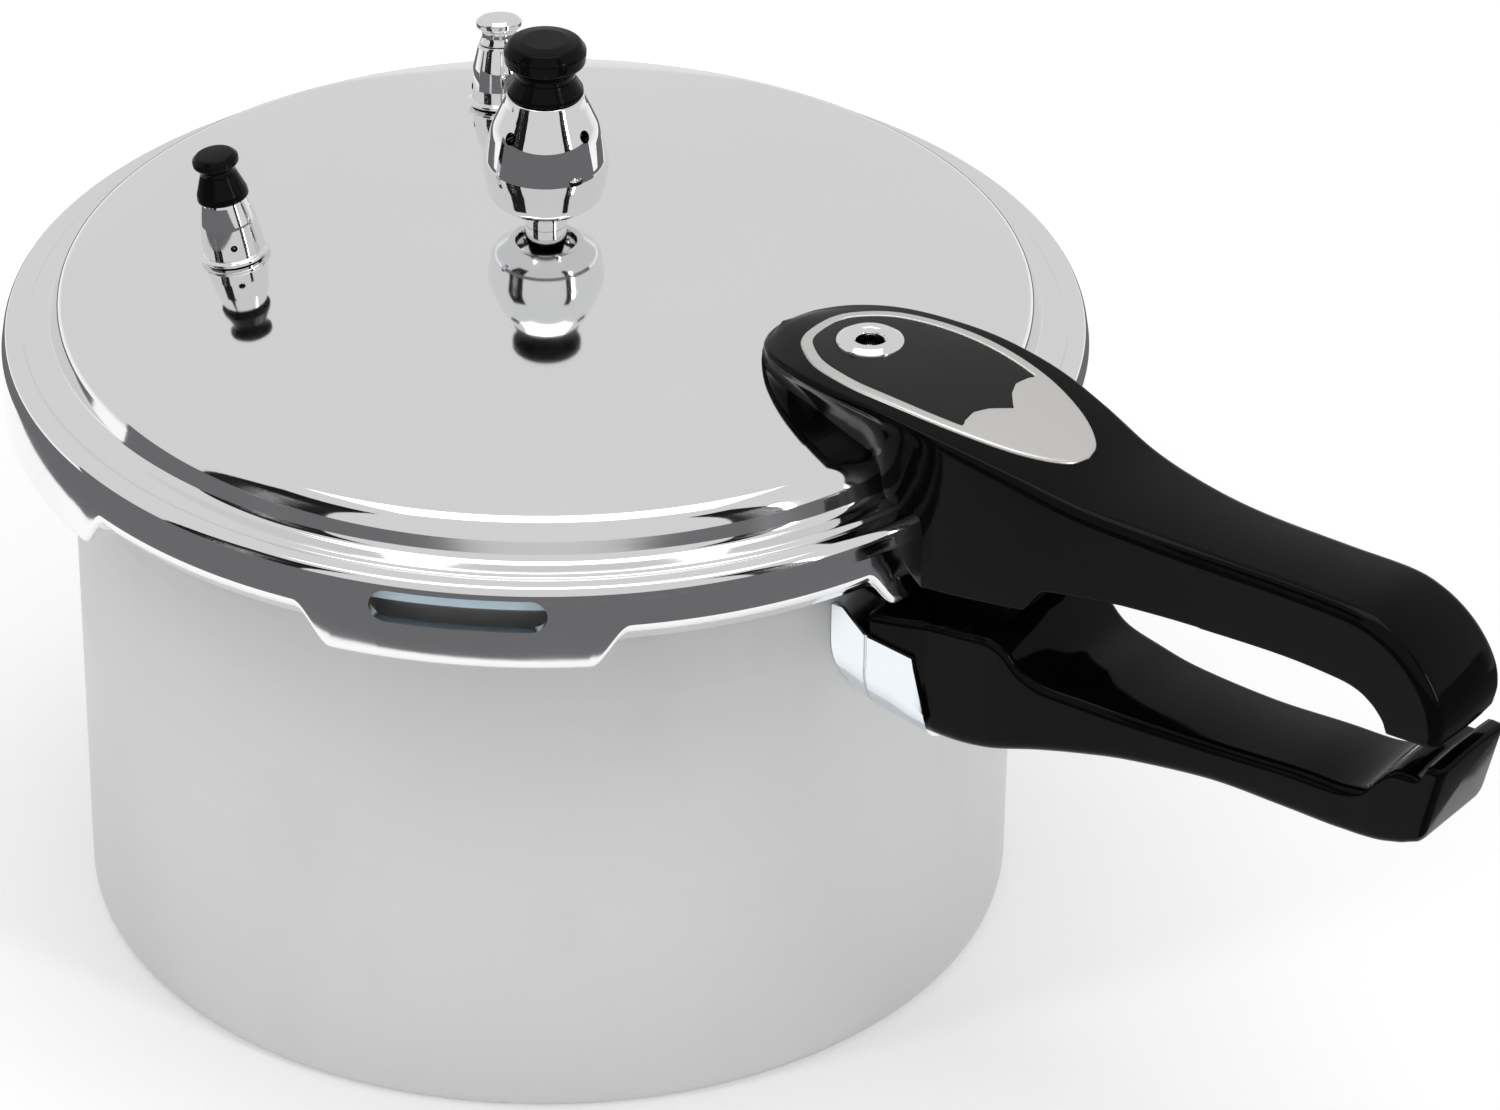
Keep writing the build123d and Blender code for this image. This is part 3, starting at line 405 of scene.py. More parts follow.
gasket = spun("gasket", lambda at: gasket_section, gasket_finish, range(0, 360, 2), closed=True)
installed(gasket, "gasket", "gasket_silicone", "lid_gasket")

# ---- Vent pipe and pressure regulator ---------------------------------------------------------
# The regulator is a chromed brass weight that sits loose on the vent pipe and lets the steam out
# through four small holes. A black phenolic cap is pushed on its top so that it can be lifted hot.
chrome_finish = Finish("valve_chrome", {"Metallic": 1.0})
chrome_haze = chrome_finish.noise(120.0, 4.0)
chrome_tone = chrome_finish.mix(chrome_haze, (0.84, 0.845, 0.855, 1), (0.90, 0.905, 0.91, 1))
chrome_finish.vary("Base Color", chrome_tone)
chrome_finish.vary("Roughness", 0.02 + chrome_finish.ramp(chrome_haze, 0.45, 0.8, 0.0, 0.06))
chrome_finish.relief(chrome_finish.noise(420.0, 2.0), 0.000004, 0.3)

cap_finish = Finish("cap_phenolic", {"IOR": 1.5, "Specular IOR Level": 0.09})
grime = cap_finish.noise(150.0, 5.0)
cap_finish.vary("Base Color", cap_finish.mix(grime, (0.0016, 0.0016, 0.0018, 1), (0.004, 0.004, 0.004, 1)))
cap_finish.vary("Roughness", 0.08 + grime * 0.08)
cap_finish.relief(cap_finish.noise(520.0, 2.0), 0.000006, 0.3)

UPRIGHT = Matrix.Identity(4)


def turned(name, corners, finish, place=UPRIGHT, steps=48, closed=False, sharp=38.0):
    """A small turned part on its own axis, set in its place in the row's frame."""
    section = rounded(corners)
    rings = []
    for step in range(steps):
        turn = 2 * pi * step / steps
        ring = [place @ Vector((r * cos(turn), r * sin(turn), z)) for r, z in section]
        rings.append([tuple(point) for point in ring])
    return grid_piece(name, rings, finish, closed, True, sharp)


weight = turned(
    "regulator_body",
    [
        (7.3, 174.9, 0), (8.6, 174.6, 0.8), (13.0, 177.6, 4.5), (14.6, 185.8, 12.0), (12.4, 195.2, 16.0),
        (9.5, 201.4, 6.0), (8.9, 203.0, 0.5), (8.4, 203.3, 0.4), (2.3, 203.3, 0.1), (2.3, 200.0, 0.1),
        (4.9, 198.7, 0.2), (4.9, 182.2, 0.2), (7.2, 180.0, 0.2), (7.25, 175.0, 0),
    ],
    chrome_finish, steps=96, closed=True,
)
HOLE_BEARINGS, HOLE_HEIGHT, HOLE_SIZE = (-3, 87, 177, 267), 196.2, 2.8
for hole_bearing in HOLE_BEARINGS:
    drill = slot_cutter("drill", HOLE_SIZE + 0.02, HOLE_SIZE, 3.0, 17.0)
    drill.matrix_world = Matrix.Rotation(radians(hole_bearing), 4, "Z") @ Matrix.Translation(
        (0, 0, HOLE_HEIGHT * MM)
    )
    cut_out(weight, drill)
installed(weight, "regulator", "valve_chrome", "regulator_weight")

regulator_cap = turned(
    "regulator_knob",
    [
        (2.3, 203.5, 0), (8.8, 203.5, 0.4), (8.6, 204.7, 0.6), (6.7, 207.7, 1.6), (7.0, 209.2, 1.2),
        (9.2, 211.4, 1.2), (9.4, 214.4, 1.2), (8.1, 216.3, 1.6), (5.0, 216.8, 3.0), (0, 216.8, 0),
    ],
    cap_finish, steps=72,
)
installed(regulator_cap, "regulator", "cap_phenolic", "regulator_cap")

# ---- The two small spring valves --------------------------------------------------------------
# Each is a chromed barrel screwed through the dome, with a spring-loaded stem inside and a knob on
# top. The front one has a black phenolic cap, and the rear one a turned and chromed knob.
VALVE_RADIUS = 71.0


def standing_at(bearing):
    """The frame of a fitting that stands square on the dome, in millimetres."""
    lean = VALVE_RADIUS / DOME_RADIUS
    east, north = cos(radians(bearing)), sin(radians(bearing))
    up = Vector((lean * east, lean * north, sqrt(1 - lean**2)))
    foot = Vector((VALVE_RADIUS * east, VALVE_RADIUS * north, dome_height(VALVE_RADIUS)))
    across = Vector((-north, east, 0))
    outwards = across.cross(up)
    return Matrix.Translation(foot) @ Matrix((outwards, across, up)).transposed().to_4x4()


BARREL = [
    (1.75, 0.9, 0), (4.4, 0.1, 0.2), (7.2, 0.15, 0.3), (8.1, 0.7, 0.4), (8.1, 1.3, 0.3), (7.1, 1.7, 0.3),
    (7.0, 4.6, 3.0), (6.5, 9.4, 5.0), (5.2, 14.4, 0.8), (4.9, 15.0, 0.3), (1.95, 15.0, 0.1),
    (1.95, 13.4, 0), (4.2, 12.6, 0), (4.2, 1.4, 0), (1.75, 1.4, 0),
]
VALVE_BEARING, PORT_HEIGHT, PORT_SIZE = 137.5, 5.0, 1.6
front = standing_at(-VALVE_BEARING)
rear = standing_at(VALVE_BEARING)
for name, place in (("safety_valve", front), ("exhaust_valve", rear)):
    barrel = turned(name + "_barrel", BARREL, chrome_finish, place, steps=64, closed=True)
    for port_turn in (94, 274):
        port = slot_cutter("port", PORT_SIZE + 0.02, PORT_SIZE, 2.4, 9.5)
        port.matrix_world = (
            Matrix.Translation(place.translation * MM)
            @ place.to_3x3().to_4x4()
            @ Matrix.Rotation(radians(port_turn), 4, "Z")
            @ Matrix.Translation((0, 0, PORT_HEIGHT * MM))
        )
        cut_out(barrel, port)
    installed(barrel, "lid", "valve_chrome", name + "_body")

safety_cap = turned(
    "safety_valve_knob",
    [
        (1.6, 15.2, 0), (6.0, 15.2, 0.4), (5.8, 16.8, 0.8), (4.1, 21.6, 1.4), (4.2, 22.6, 0.6),
        (5.3, 24.0, 0.6), (5.3, 25.2, 0.6), (4.3, 26.2, 0.9), (0, 26.4, 0),
    ],
    cap_finish, front, steps=64,
)
installed(safety_cap, "safety_plunger", "cap_phenolic", "safety_valve_cap")
exhaust_knob = turned(
    "exhaust_valve_top",
    [
        (1.6, 15.2, 0), (4.9, 15.2, 0.3), (4.1, 16.8, 1.2), (4.0, 18.2, 0.8), (5.3, 19.4, 0.6),
        (5.4, 20.6, 0.6), (4.4, 21.5, 0.8), (0, 21.7, 0),
    ],
    chrome_finish, rear, steps=64,
)
installed(exhaust_knob, "exhaust_plunger", "valve_chrome", "exhaust_valve_knob")

# ---- Lower handle -----------------------------------------------------------------------------
# A black phenolic moulding, screwed to a bracket on the pot's wall. It flares towards the wall,
# dips into a finger grip and ends in a saddle on which the upper handle's tail rests.
handle_finish = Finish("handle_phenolic", {"IOR": 1.5, "Specular IOR Level": 0.09})
swirl = handle_finish.noise(40.0, 6.0)
dust = handle_finish.ramp(handle_finish.noise(700.0, 2.0), 0.66, 0.8)
handle_tone = handle_finish.mix(swirl, (0.0008, 0.0008, 0.0009, 1), (0.0022, 0.0022, 0.0021, 1))
handle_finish.vary("Base Color", handle_finish.mix(dust * 0.04, handle_tone, (0.05, 0.05, 0.048, 1)))
handle_finish.vary("Roughness", 0.06 + swirl * 0.07 + dust * 0.05)
handle_finish.relief(handle_finish.noise(260.0, 3.0), 0.000012, 0.35)


def bend(a, b, c, d, t):
    """A smooth curve's value between b and c, with a before them and d after."""
    slope, curve, twist = c - a, 2 * a - 5 * b + 4 * c - d, 3 * b - a - 3 * c + d
    return 0.5 * (2 * b + slope * t + curve * t**2 + twist * t**3)


def through(rows, spacing):
    """Rows of numbers that run smoothly through the given rows, with a step of about spacing."""
    padded = [[2 * a - b for a, b in zip(rows[0], rows[1])]] + rows
    padded.append([2 * a - b for a, b in zip(rows[-1], rows[-2])])
    run = []
    for before, here, after, beyond in zip(padded, padded[1:], padded[2:], padded[3:]):
        length = hypot(after[0] - here[0], after[1] - here[1], after[2] - here[2])
        steps = max(2, round(length / spacing))
        for step in range(steps):
            run.append([bend(*four, step / steps) for four in zip(before, here, after, beyond)])
    run.append(list(rows[-1]))
    return run


# How far down a handle's flank each point lies, and how deep the groove under its top edge is there.
FLANK = (
    (0.03, 0.0), (0.07, 0.7), (0.11, 1.0), (0.16, 0.8), (0.26, 0.2), (0.4, 0.0), (0.6, 0.0), (0.8, 0.0),
)


def grip_ring(
    top, bottom, half_width, outwards, crown, top_round, bottom_round, waist=0.0, groove=0.0, draft=0.0
):
    """One section of a handle, from the middle of its top, round both sides and back.

    Top and bottom are (x, z), and outwards is the plan's (x, y) direction away from the handle.
    Crown is the fall of the top towards its edges. The flank can be waisted, grooved or drawn in."""
    run_x, run_z = bottom[0] - top[0], bottom[1] - top[1]
    length = hypot(run_x, run_z)
    down_x, down_z = run_x / length, run_z / length
    spare = max(half_width, 0.3) if outwards[1] > 0.7 else length
    top_round = min(top_round, 0.45 * (length - crown), spare)
    bottom_round = min(bottom_round, 0.45 * (length - crown), spare)
    side = []
    for step in range(9):
        turn = radians(90 * step / 8)
        side.append((top_round * (1 - sin(turn)), crown + top_round * (1 - cos(turn))))
    flank = length - crown - top_round - bottom_round
    for share, dip in FLANK:
        drawn = waist * sin(pi * share) + groove * dip + draft * share
        side.append((drawn, crown + top_round + flank * share))
    for step in range(7):
        turn = radians(90 * step / 6)
        side.append((draft + bottom_round * (1 - cos(turn)), length - bottom_round * (1 - sin(turn))))
    half = []
    edge_y = max(half_width - top_round * outwards[1], 0.0)
    for step in range(5):
        share = step / 5
        depth = crown * share**2
        half.append(
            (top[0] + down_x * depth - top_round * outwards[0], edge_y * share, top[1] + down_z * depth)
        )
    for inset, depth in side:
        x = top[0] + down_x * depth - inset * outwards[0]
        y = max(half_width - inset * outwards[1], 0.0)
        half.append((x, y, top[1] + down_z * depth))
    half.append((half[-1][0], 0.0, half[-1][2]))
    return half + [(x, -y, z) for x, y, z in reversed(half[1:-1])]


def capped(rings, reach, steps=5):
    """Adds smaller rings past the last one, so that the end is rounded off and closed."""
    last = [Vector(point) for point in rings[-1]]
    middle = sum(last, Vector()) / len(last)
    onwards = middle - sum((Vector(point) for point in rings[-3]), Vector()) / len(last)
    onwards.normalize()
    for step in range(1, steps + 1):
        turn = radians(90 * step / steps)
        drawn = 1 - (1 - cos(turn)) * 0.16
        centre = middle + onwards * reach * sin(turn)
        rings.append([tuple(centre + (point - middle) * drawn) for point in last])
    return rings + [[tuple(middle + onwards * reach)] * len(last)]


# Rows: top x, top z, bottom x, bottom z, half width, rounding of the top and bottom edges.
lower_rows = [
    [111.6, 121.0, 111.6, 92.4, 25.8, 2.0, 12.8], [118.0, 121.0, 118.0, 90.9, 23.4, 2.0, 10.6],
    [123.4, 121.0, 123.4, 90.0, 21.2, 2.0, 7.6], [125.0, 121.1, 125.0, 89.6, 21.0, 2.0, 6.4],
    [133.0, 121.9, 133.0, 90.8, 20.6, 2.0, 4.4], [139.5, 122.4, 139.5, 92.2, 20.1, 2.0, 3.4],
    [143.5, 120.6, 143.5, 93.2, 19.5, 2.0, 3.2], [147.0, 116.8, 147.0, 94.2, 18.9, 2.0, 3.2],
    [152.5, 114.0, 152.0, 95.4, 17.7, 2.2, 3.2], [162.0, 113.2, 162.0, 97.6, 16.0, 2.4, 3.2],
    [174.0, 112.6, 174.0, 99.8, 14.4, 2.4, 3.2], [195.0, 113.2, 194.0, 102.3, 13.0, 2.4, 3.2],
    [214.0, 114.8, 211.0, 102.8, 12.7, 2.4, 3.2], [226.6, 115.5, 223.6, 103.1, 12.8, 2.4, 3.2],
    [233.4, 117.6, 228.4, 103.5, 12.8, 2.4, 3.0], [236.7, 121.6, 232.4, 103.9, 12.9, 2.2, 2.8],
    [240.2, 124.9, 237.0, 104.6, 12.9, 1.8, 2.6], [245.6, 125.4, 241.2, 105.9, 12.9, 1.6, 2.4],
    [247.3, 126.6, 243.0, 106.5, 12.9, 1.6, 2.4], [248.3, 129.0, 244.2, 107.1, 12.9, 1.6, 2.4],
    [250.7, 129.3, 245.8, 107.8, 12.8, 1.8, 2.4],
]
lower_rings = []
for top_x, top_z, under_x, under_z, half_width, edge, belly in through(lower_rows, 1.5):
    lower_rings.append(
        grip_ring((top_x, top_z), (under_x, under_z), half_width, (0, 1), 0.7, edge, belly)
    )
lower_rings = capped(lower_rings, 1.9)
ROOT_REACH = POT_RADIUS + 0.4
for ring in lower_rings:
    for place, (x, y, z) in enumerate(ring):
        reach = hypot(x, y)
        if reach < ROOT_REACH:
            ring[place] = (x * ROOT_REACH / reach, y, z)
lower_handle = grid_piece("lower_grip", lower_rings, handle_finish, True, False, sharp=55)
root = bmesh.new()
root.from_mesh(lower_handle.data)
bmesh.ops.holes_fill(root, edges=[edge for edge in root.edges if edge.is_boundary])
root.to_mesh(lower_handle.data)
root.free()
installed(lower_handle, "pot", "handle_phenolic", "lower_handle")

# A short tongue stands up from the lower handle's root and fills the gap under the upper one.
# Rows: x, half width, height of the top.
TONGUE_ROWS = ((117.2, 11.0, 125.6), (118.4, 12.0, 126.7), (137.6, 12.0, 126.7), (139.0, 11.0, 125.6))
TONGUE_BOTTOM = 118.0
tongue_rings = []
for x, half_width, top in TONGUE_ROWS:
    tongue_rings.append(grip_ring((x, top), (x, TONGUE_BOTTOM), half_width, (0, 1), 0.2, 1.2, 0.3))
tongue = grid_piece("handle_tongue", capped(tongue_rings, 0.4), handle_finish, True, False)
installed(tongue, "pot", "handle_phenolic")

# ---- Heat guard -------------------------------------------------------------------------------
# A strip of chromed sheet is bent round the lower handle's root and keeps the hob's heat off it.
guard_finish = Finish("guard_chrome", {"Metallic": 1.0})
guard_haze = guard_finish.noise(30.0, 4.0)
guard_finish.vary("Base Color", guard_finish.mix(guard_haze, (0.80, 0.85, 0.89, 1), (0.86, 0.90, 0.93, 1)))
guard_finish.vary("Roughness", 0.07 + guard_haze * 0.08)
guard_finish.relief(guard_finish.noise(80.0, 3.0), 0.00002, 0.25)
# Rows: x, half width, bottom, corner rounding, height of the top edge.
guard_rows = [
    [104.6, 31.1, 95.4, 19.1, 123.2], [107.4, 29.6, 93.8, 17.6, 122.2],
    [109.6, 28.3, 92.5, 16.3, 118.6], [111.7, 27.2, 91.3, 15.3, 115.5],
    [111.9, 26.7, 91.8, 15.3, 115.4], [112.3, 26.7, 91.7, 15.0, 115.2],
    [112.5, 27.0, 91.0, 14.8, 115.1], [117.0, 25.1, 90.1, 12.5, 113.2],
    [122.0, 23.3, 89.2, 9.9, 111.3], [122.4, 23.1, 89.1, 9.7, 108.6],
    [125.2, 22.2, 88.6, 8.3, 95.4],
]
GUARD_SHEET, GUARD_SHARP = 0.9, 12.0


def guard_ring(x, half_width, bottom, corner, top, inset):
    """The guard's section at x: down one side, under the handle and up the other side."""
    half = []
    for step in range(8):
        half.append((half_width - inset, top + (bottom + corner - top) * step / 8))
    for step in range(13):
        turn = radians(90 * step / 12)
        half.append(
            (
                half_width - corner + (corner - inset) * cos(turn),
                bottom + corner - (corner - inset) * sin(turn),
            )
        )
    ring = []
    for y, z in half + [(-y, z) for y, z in reversed(half)]:
        wall = sqrt(max((POT_RADIUS + 0.1) ** 2 - y * y, 0))
        ring.append((max(x, wall), y, z))
    return ring


guard_rings = []
for x, half_width, bottom, corner, top in guard_rows:
    outer = guard_ring(x, half_width, bottom, corner, top, 0.0)
    inner = guard_ring(x, half_width, bottom, corner, top, GUARD_SHEET)
    guard_rings.append(outer + list(reversed(inner)))
heat_guard = grid_piece("root_guard", guard_rings, guard_finish, True, False, sharp=GUARD_SHARP)
sheet = bmesh.new()
sheet.from_mesh(heat_guard.data)
width = len(guard_rings[0])
for column in range(width // 2 - 1):
    for ring in (guard_rings[0], guard_rings[-1]):
        outer, inner = ring[column:column + 2], ring[width - 2 - column:width - column]
        sheet.faces.new([sheet.verts.new(Vector(corner) * MM) for corner in outer + inner])
bmesh.ops.remove_doubles(sheet, verts=sheet.verts, dist=0.002 * MM)
bmesh.ops.recalc_face_normals(sheet, faces=sheet.faces)
for edge in sheet.edges:
    edge.smooth = len(edge.link_faces) == 2 and edge.calc_face_angle() < radians(GUARD_SHARP)
sheet.to_mesh(heat_guard.data)
sheet.free()
installed(heat_guard, "pot", "guard_chrome", "heat_guard")

# ---- Upper handle -----------------------------------------------------------------------------
# A black phenolic moulding that saddles the lid's edge, screwed to the dome and to a bracket on
# the skirt. Its tail hooks down to rest on the lower handle when the lid is locked.


def lid_surface(reach):
    """Height of the lid's outside at a distance from its axis."""
    if reach <= DOME_EDGE:
        return dome_height(reach)
    for (r, z), (next_r, next_z) in zip(lid_step, lid_step[1:]):
        if r <= reach <= next_r and next_r > r:
            return z + (next_z - z) * (reach - r) / (next_r - r)
    return lid_step[-1][1]


# Rows: top x, top z, half width, bottom x, bottom z.
upper_rows = [
    [66.5, 168.0, 0.0, 66.5, 120.0], [66.8, 168.0, 3.0, 66.8, 120.0],
    [67.8, 168.2, 6.2, 67.8, 120.0], [70.4, 168.8, 10.4, 70.4, 120.0],
    [76.5, 169.7, 15.6, 76.5, 120.0], [86.0, 170.6, 19.6, 86.0, 120.0],
    [98.0, 170.9, 21.8, 98.0, 120.0], [112.0, 170.4, 22.6, 112.0, 120.0],
    [128.0, 168.2, 21.9, 128.0, 129.4], [142.0, 165.1, 19.8, 142.0, 130.8],
    [158.0, 161.0, 16.7, 158.0, 138.6], [174.0, 159.4, 14.2, 174.0, 139.4],
    [190.0, 158.9, 12.8, 190.0, 140.0], [211.0, 159.3, 12.3, 210.0, 141.0],
    [227.2, 159.4, 12.6, 224.0, 141.0], [235.0, 157.6, 12.8, 229.6, 140.2],
    [241.6, 153.9, 12.9, 233.2, 138.3], [246.6, 148.9, 13.0, 235.4, 136.3],
    [249.8, 143.4, 13.0, 236.4, 134.9], [250.8, 138.2, 13.0, 236.8, 133.9],
    [250.2, 133.8, 12.9, 237.1, 133.0],
]
neck_under = rounded(
    [(120, 129.3, 0), (148.0, 131.4, 0.6), (152.0, 137.4, 2.6), (170.0, 139.3, 4.0), (200, 140.6, 0)]
)


def underside(x):
    """Height of the upper handle's underside between the skirt and the grip."""
    for (x0, z0), (x1, z1) in zip(neck_under, neck_under[1:]):
        if x0 <= x <= x1:
            return z0 + (z1 - z0) * (x - x0) / max(x1 - x0, 1e-6)
    return neck_under[0][1]


# The handle's foot is sunk a little in the lid, so that no light shows under it.
SKIRT_SINK = 0.8
NOSE_RINGS = 3  # rings at the tip, which face straight forwards
upper_path = through(upper_rows, 0.8)
upper_rings = []
for place, (top_x, top_z, half_width, under_x, under_z) in enumerate(upper_path):
    half_width = max(half_width, 0.0)
    before = upper_path[max(place - 1, 0)]
    after = upper_path[min(place + 1, len(upper_path) - 1)]
    step_x, step_y = after[0] - before[0], after[2] - before[2]
    turn = hypot(step_x, step_y)
    outwards = (-step_y / turn, step_x / turn) if top_x < 128 else (0.0, 1.0)
    if place < NOSE_RINGS:
        outwards = (-1.0, 0.0)
    if top_x < 121.6:
        under_x, under_z = top_x, lid_surface(hypot(top_x, half_width)) - SKIRT_SINK - 0.6
    elif top_x < 190:
        under_x, under_z = top_x, underside(top_x)
    nose = 1 - smooth_step((top_x - 96) / 34)
    edge = 1.3 + 1.9 * smooth_step((top_x - 120) / 70)
    draft = (4.4 * smooth_step((top_x - 69) / 22) - 0.9) * (1 - smooth_step((top_x - 104) / 14))
    upper_rings.append(
        grip_ring(
            (top_x, top_z), (under_x, under_z), half_width, outwards, 0.5 + 0.4 * nose, edge, 0.9,
            0.6 * nose, 0.45 * nose, draft,
        )
    )
upper_rings = capped(upper_rings, 0.9)
FACE_REACH = 124.3
for ring in upper_rings:
    for place, (x, y, z) in enumerate(ring):
        reach = hypot(x, y)
        if reach < FACE_REACH and x < 128:
            z = max(z, lid_surface(reach) - SKIRT_SINK)
        ring[place] = (x, y, z)
upper_handle = grid_piece("upper_grip", upper_rings, handle_finish, True, False, sharp=55)
installed(upper_handle, "lid", "handle_phenolic", "upper_handle")

# ---- Badge and eyelet -------------------------------------------------------------------------
# An egg-shaped plate of satin silver metal is set in the handle's top, with a bright rolled edge
# and a black field. A plated eyelet at its wide end leaves a hole for the pressure pin.
badge_finish = Finish("badge_metal", {"Metallic": 1.0})
grain = badge_finish.noise(1.0, 4.0, stretch=(60, 3200, 60))
badge_finish.vary("Base Color", badge_finish.mix(grain, (0.66, 0.65, 0.63, 1), (0.76, 0.75, 0.73, 1)))
badge_finish.vary("Roughness", 0.26 + grain * 0.16)
badge_finish.relief(grain, 0.000006, 0.4)
inlay_finish = Finish("badge_inlay", {"IOR": 1.45, "Specular IOR Level": 0.3})
pores = inlay_finish.noise(1500.0, 2.0)
inlay_finish.vary("Base Color", inlay_finish.mix(pores, (0.003, 0.003, 0.003, 1), (0.007, 0.007, 0.007, 1)))
inlay_finish.vary("Roughness", 0.34 + pores * 0.14)
inlay_finish.relief(pores, 0.00001, 0.4)

badge_side = through(
    [
        [77.0, 0.0, 0.0], [77.5, 4.9, 0.0], [80.0, 9.5, 0.0], [87.6, 15.2, 0.0], [98.0, 18.0, 0.0],
        [108.0, 18.6, 0.0], [120.0, 17.8, 0.0], [132.0, 15.3, 0.0], [142.6, 10.9, 0.0], [149.4, 5.4, 0.0],
        [151.2, 0.0, 0.0],
    ],
    1.0,
)
BADGE_MIDDLE = 108.0
WING = [(0.0, 130.9), (1.4, 129.7), (4.4, 127.3), (8.0, 125.8), (12.0, 126.4), (13.2, 127.0), (30.0, 127.0)]


def edge_reach(bearing, inset):
    """How far the badge's outline is from its middle, along a bearing, drawn in by the inset."""
    turn = radians(bearing)
    best, nearest = 0.0, 10.0
    for (x, y, _), (next_x, next_y, _) in zip(badge_side, badge_side[1:]):
        run_x, run_y = next_x - x, next_y - y
        length = hypot(run_x, run_y)
        x0, y0 = x + run_y / length * inset - BADGE_MIDDLE, y - run_x / length * inset
        x1, y1 = x0 + run_x, y0 + run_y
        start, end = atan2(max(y0, 0), x0), atan2(max(y1, 0), x1)
        off = 0 if min(start, end) <= turn <= max(start, end) else min(abs(turn - start), abs(turn - end))
        if off < nearest:
            nearest = off
            spread = end - start
            share = min(max((turn - start) / spread, 0), 1) if abs(spread) > 1e-9 else 0.5
            best = hypot(x0 + (x1 - x0) * share, y0 + (y1 - y0) * share)
    return best


def wing_reach(bearing):
    """How far the black field's wing-shaped end is from the badge's middle, along a bearing."""
    turn = radians(bearing)
    if cos(turn) < 0.3:
        return 1000.0
    low, high = 10.0, 40.0
    for _ in range(24):
        reach = (low + high) / 2
        y = reach * sin(turn)
        for (y0, x0), (y1, x1) in zip(WING, WING[1:]):
            if y0 <= y <= y1:
                wing_x = x0 + (x1 - x0) * (y - y0) / (y1 - y0)
        if BADGE_MIDDLE + reach * cos(turn) < wing_x:
            low = reach
        else:
            high = reach
    return low


def crest(x):
    """Height of the upper handle's top, along its middle."""
    for before, after in zip(upper_path, upper_path[1:]):
        if before[0] <= x <= after[0]:
            return before[1] + (after[1] - before[1]) * (x - before[0]) / (after[0] - before[0])
    return upper_path[0][1]


def handle_top(x, y):
    """Height of the upper handle's crowned top."""
    fall = 0.5 + 0.4 * (1 - smooth_step((x - 96) / 34))
    return crest(x) - fall * min(abs(y) / 20.0, 1) ** 2


def badge_ring(reaches, lift, bearings):
    """A closed ring of points on the handle's top, at a reach for each bearing."""
    ring = []
    for bearing, reach in zip(bearings, reaches):
        x = BADGE_MIDDLE + reach * cos(radians(bearing))
        y = reach * sin(radians(bearing))
        ring.append((x, y, handle_top(x, y) + lift))
    return ring


badge_bearings = [1.5 * step for step in range(240)]
folded = [min(at, 360 - at) for at in badge_bearings]


def field_reach(at, inset):
    """The reach of the black field's edge: the badge's border, or the wing where that is nearer."""
    return min(edge_reach(at, inset), wing_reach(at) - (inset - 2.7))


plate_rings = [badge_ring([edge_reach(at, inset) for at in folded], lift, badge_bearings)
               for inset, lift in ((0.0, -0.5), (0.0, 0.10), (0.12, 0.32), (0.45, 0.50), (0.9, 0.52))]
border, opening = [edge_reach(at, 0.9) for at in folded], [field_reach(at, 2.3) for at in folded]
for share in (0.12, 0.25, 0.38, 0.5, 0.62, 0.75, 0.88):
    between = [outer + (inner - outer) * share for outer, inner in zip(border, opening)]
    plate_rings.append(badge_ring(between, 0.52, badge_bearings))
plate_rings += [badge_ring([field_reach(at, inset) for at in folded], lift, badge_bearings)
                for inset, lift in ((2.3, 0.50), (2.6, 0.44), (2.7, 0.25), (2.75, -0.5))]
plate = grid_piece("badge_plate", plate_rings, badge_finish, True, False, sharp=60)
installed(plate, "lid", "badge_metal", "handle_badge")

field_rings = [badge_ring([field_reach(at, inset) for at in folded], lift, badge_bearings)
               for inset, lift in ((2.78, -0.4), (2.78, 0.22), (2.95, 0.32), (3.3, 0.34))]
inner = [field_reach(at, 3.3) for at in folded]
for share in (0.75, 0.5, 0.25, 0.0):
    field_rings.append(badge_ring([reach * share for reach in inner], 0.34, badge_bearings))
field = grid_piece("badge_field", field_rings, inlay_finish, True, False, sharp=60)
installed(field, "lid", "badge_inlay", "badge_inlay")

FLOAT_X, FLOAT_HOLE = 92.0, 3.6
float_place = Matrix.Translation((FLOAT_X, 0, 0))
for piece, bottom in ((field, 160), (upper_handle, 157)):
    hole = [(0, bottom, 0), (FLOAT_HOLE, bottom, 0), (FLOAT_HOLE, 178, 0), (0, 178, 0)]
    cut_out(piece, turned("hole_drill", hole, inlay_finish, float_place))
eyelet = turned(
    "badge_eyelet",
    [
        (3.1, 168.0, 0), (3.55, 168.0, 0.1), (3.6, 170.6, 0.1), (7.7, 170.8, 0.2), (7.6, 171.7, 0.5),
        (5.9, 172.6, 1.6), (4.2, 172.5, 0.9), (3.1, 171.6, 0.6), (3.1, 168.1, 0),
    ],
    chrome_finish, float_place, steps=72,
)
installed(eyelet, "lid", "valve_chrome", "float_eyelet")

# ---- Finishes of the fittings that keep their turned and stamped shapes -------------------------
# Nuts, brackets and rivets are plain plated steel and aluminium, the stems and guides are turned
# brass, and the washers are milky silicone. Most are seen only when the lid is off.


def plain_metal(name, dark, light, roughness, scale):
    """A metal with fine tool marks and slight tarnish."""
    finish = Finish(name, {"Metallic": 1.0})
    marks = finish.noise(scale, 5.0)
    finish.vary("Base Color", finish.mix(marks, (*dark, 1), (*light, 1)))
    finish.vary("Roughness", roughness + marks * 0.16)
    finish.relief(marks, 0.000012, 0.4)
    return finish


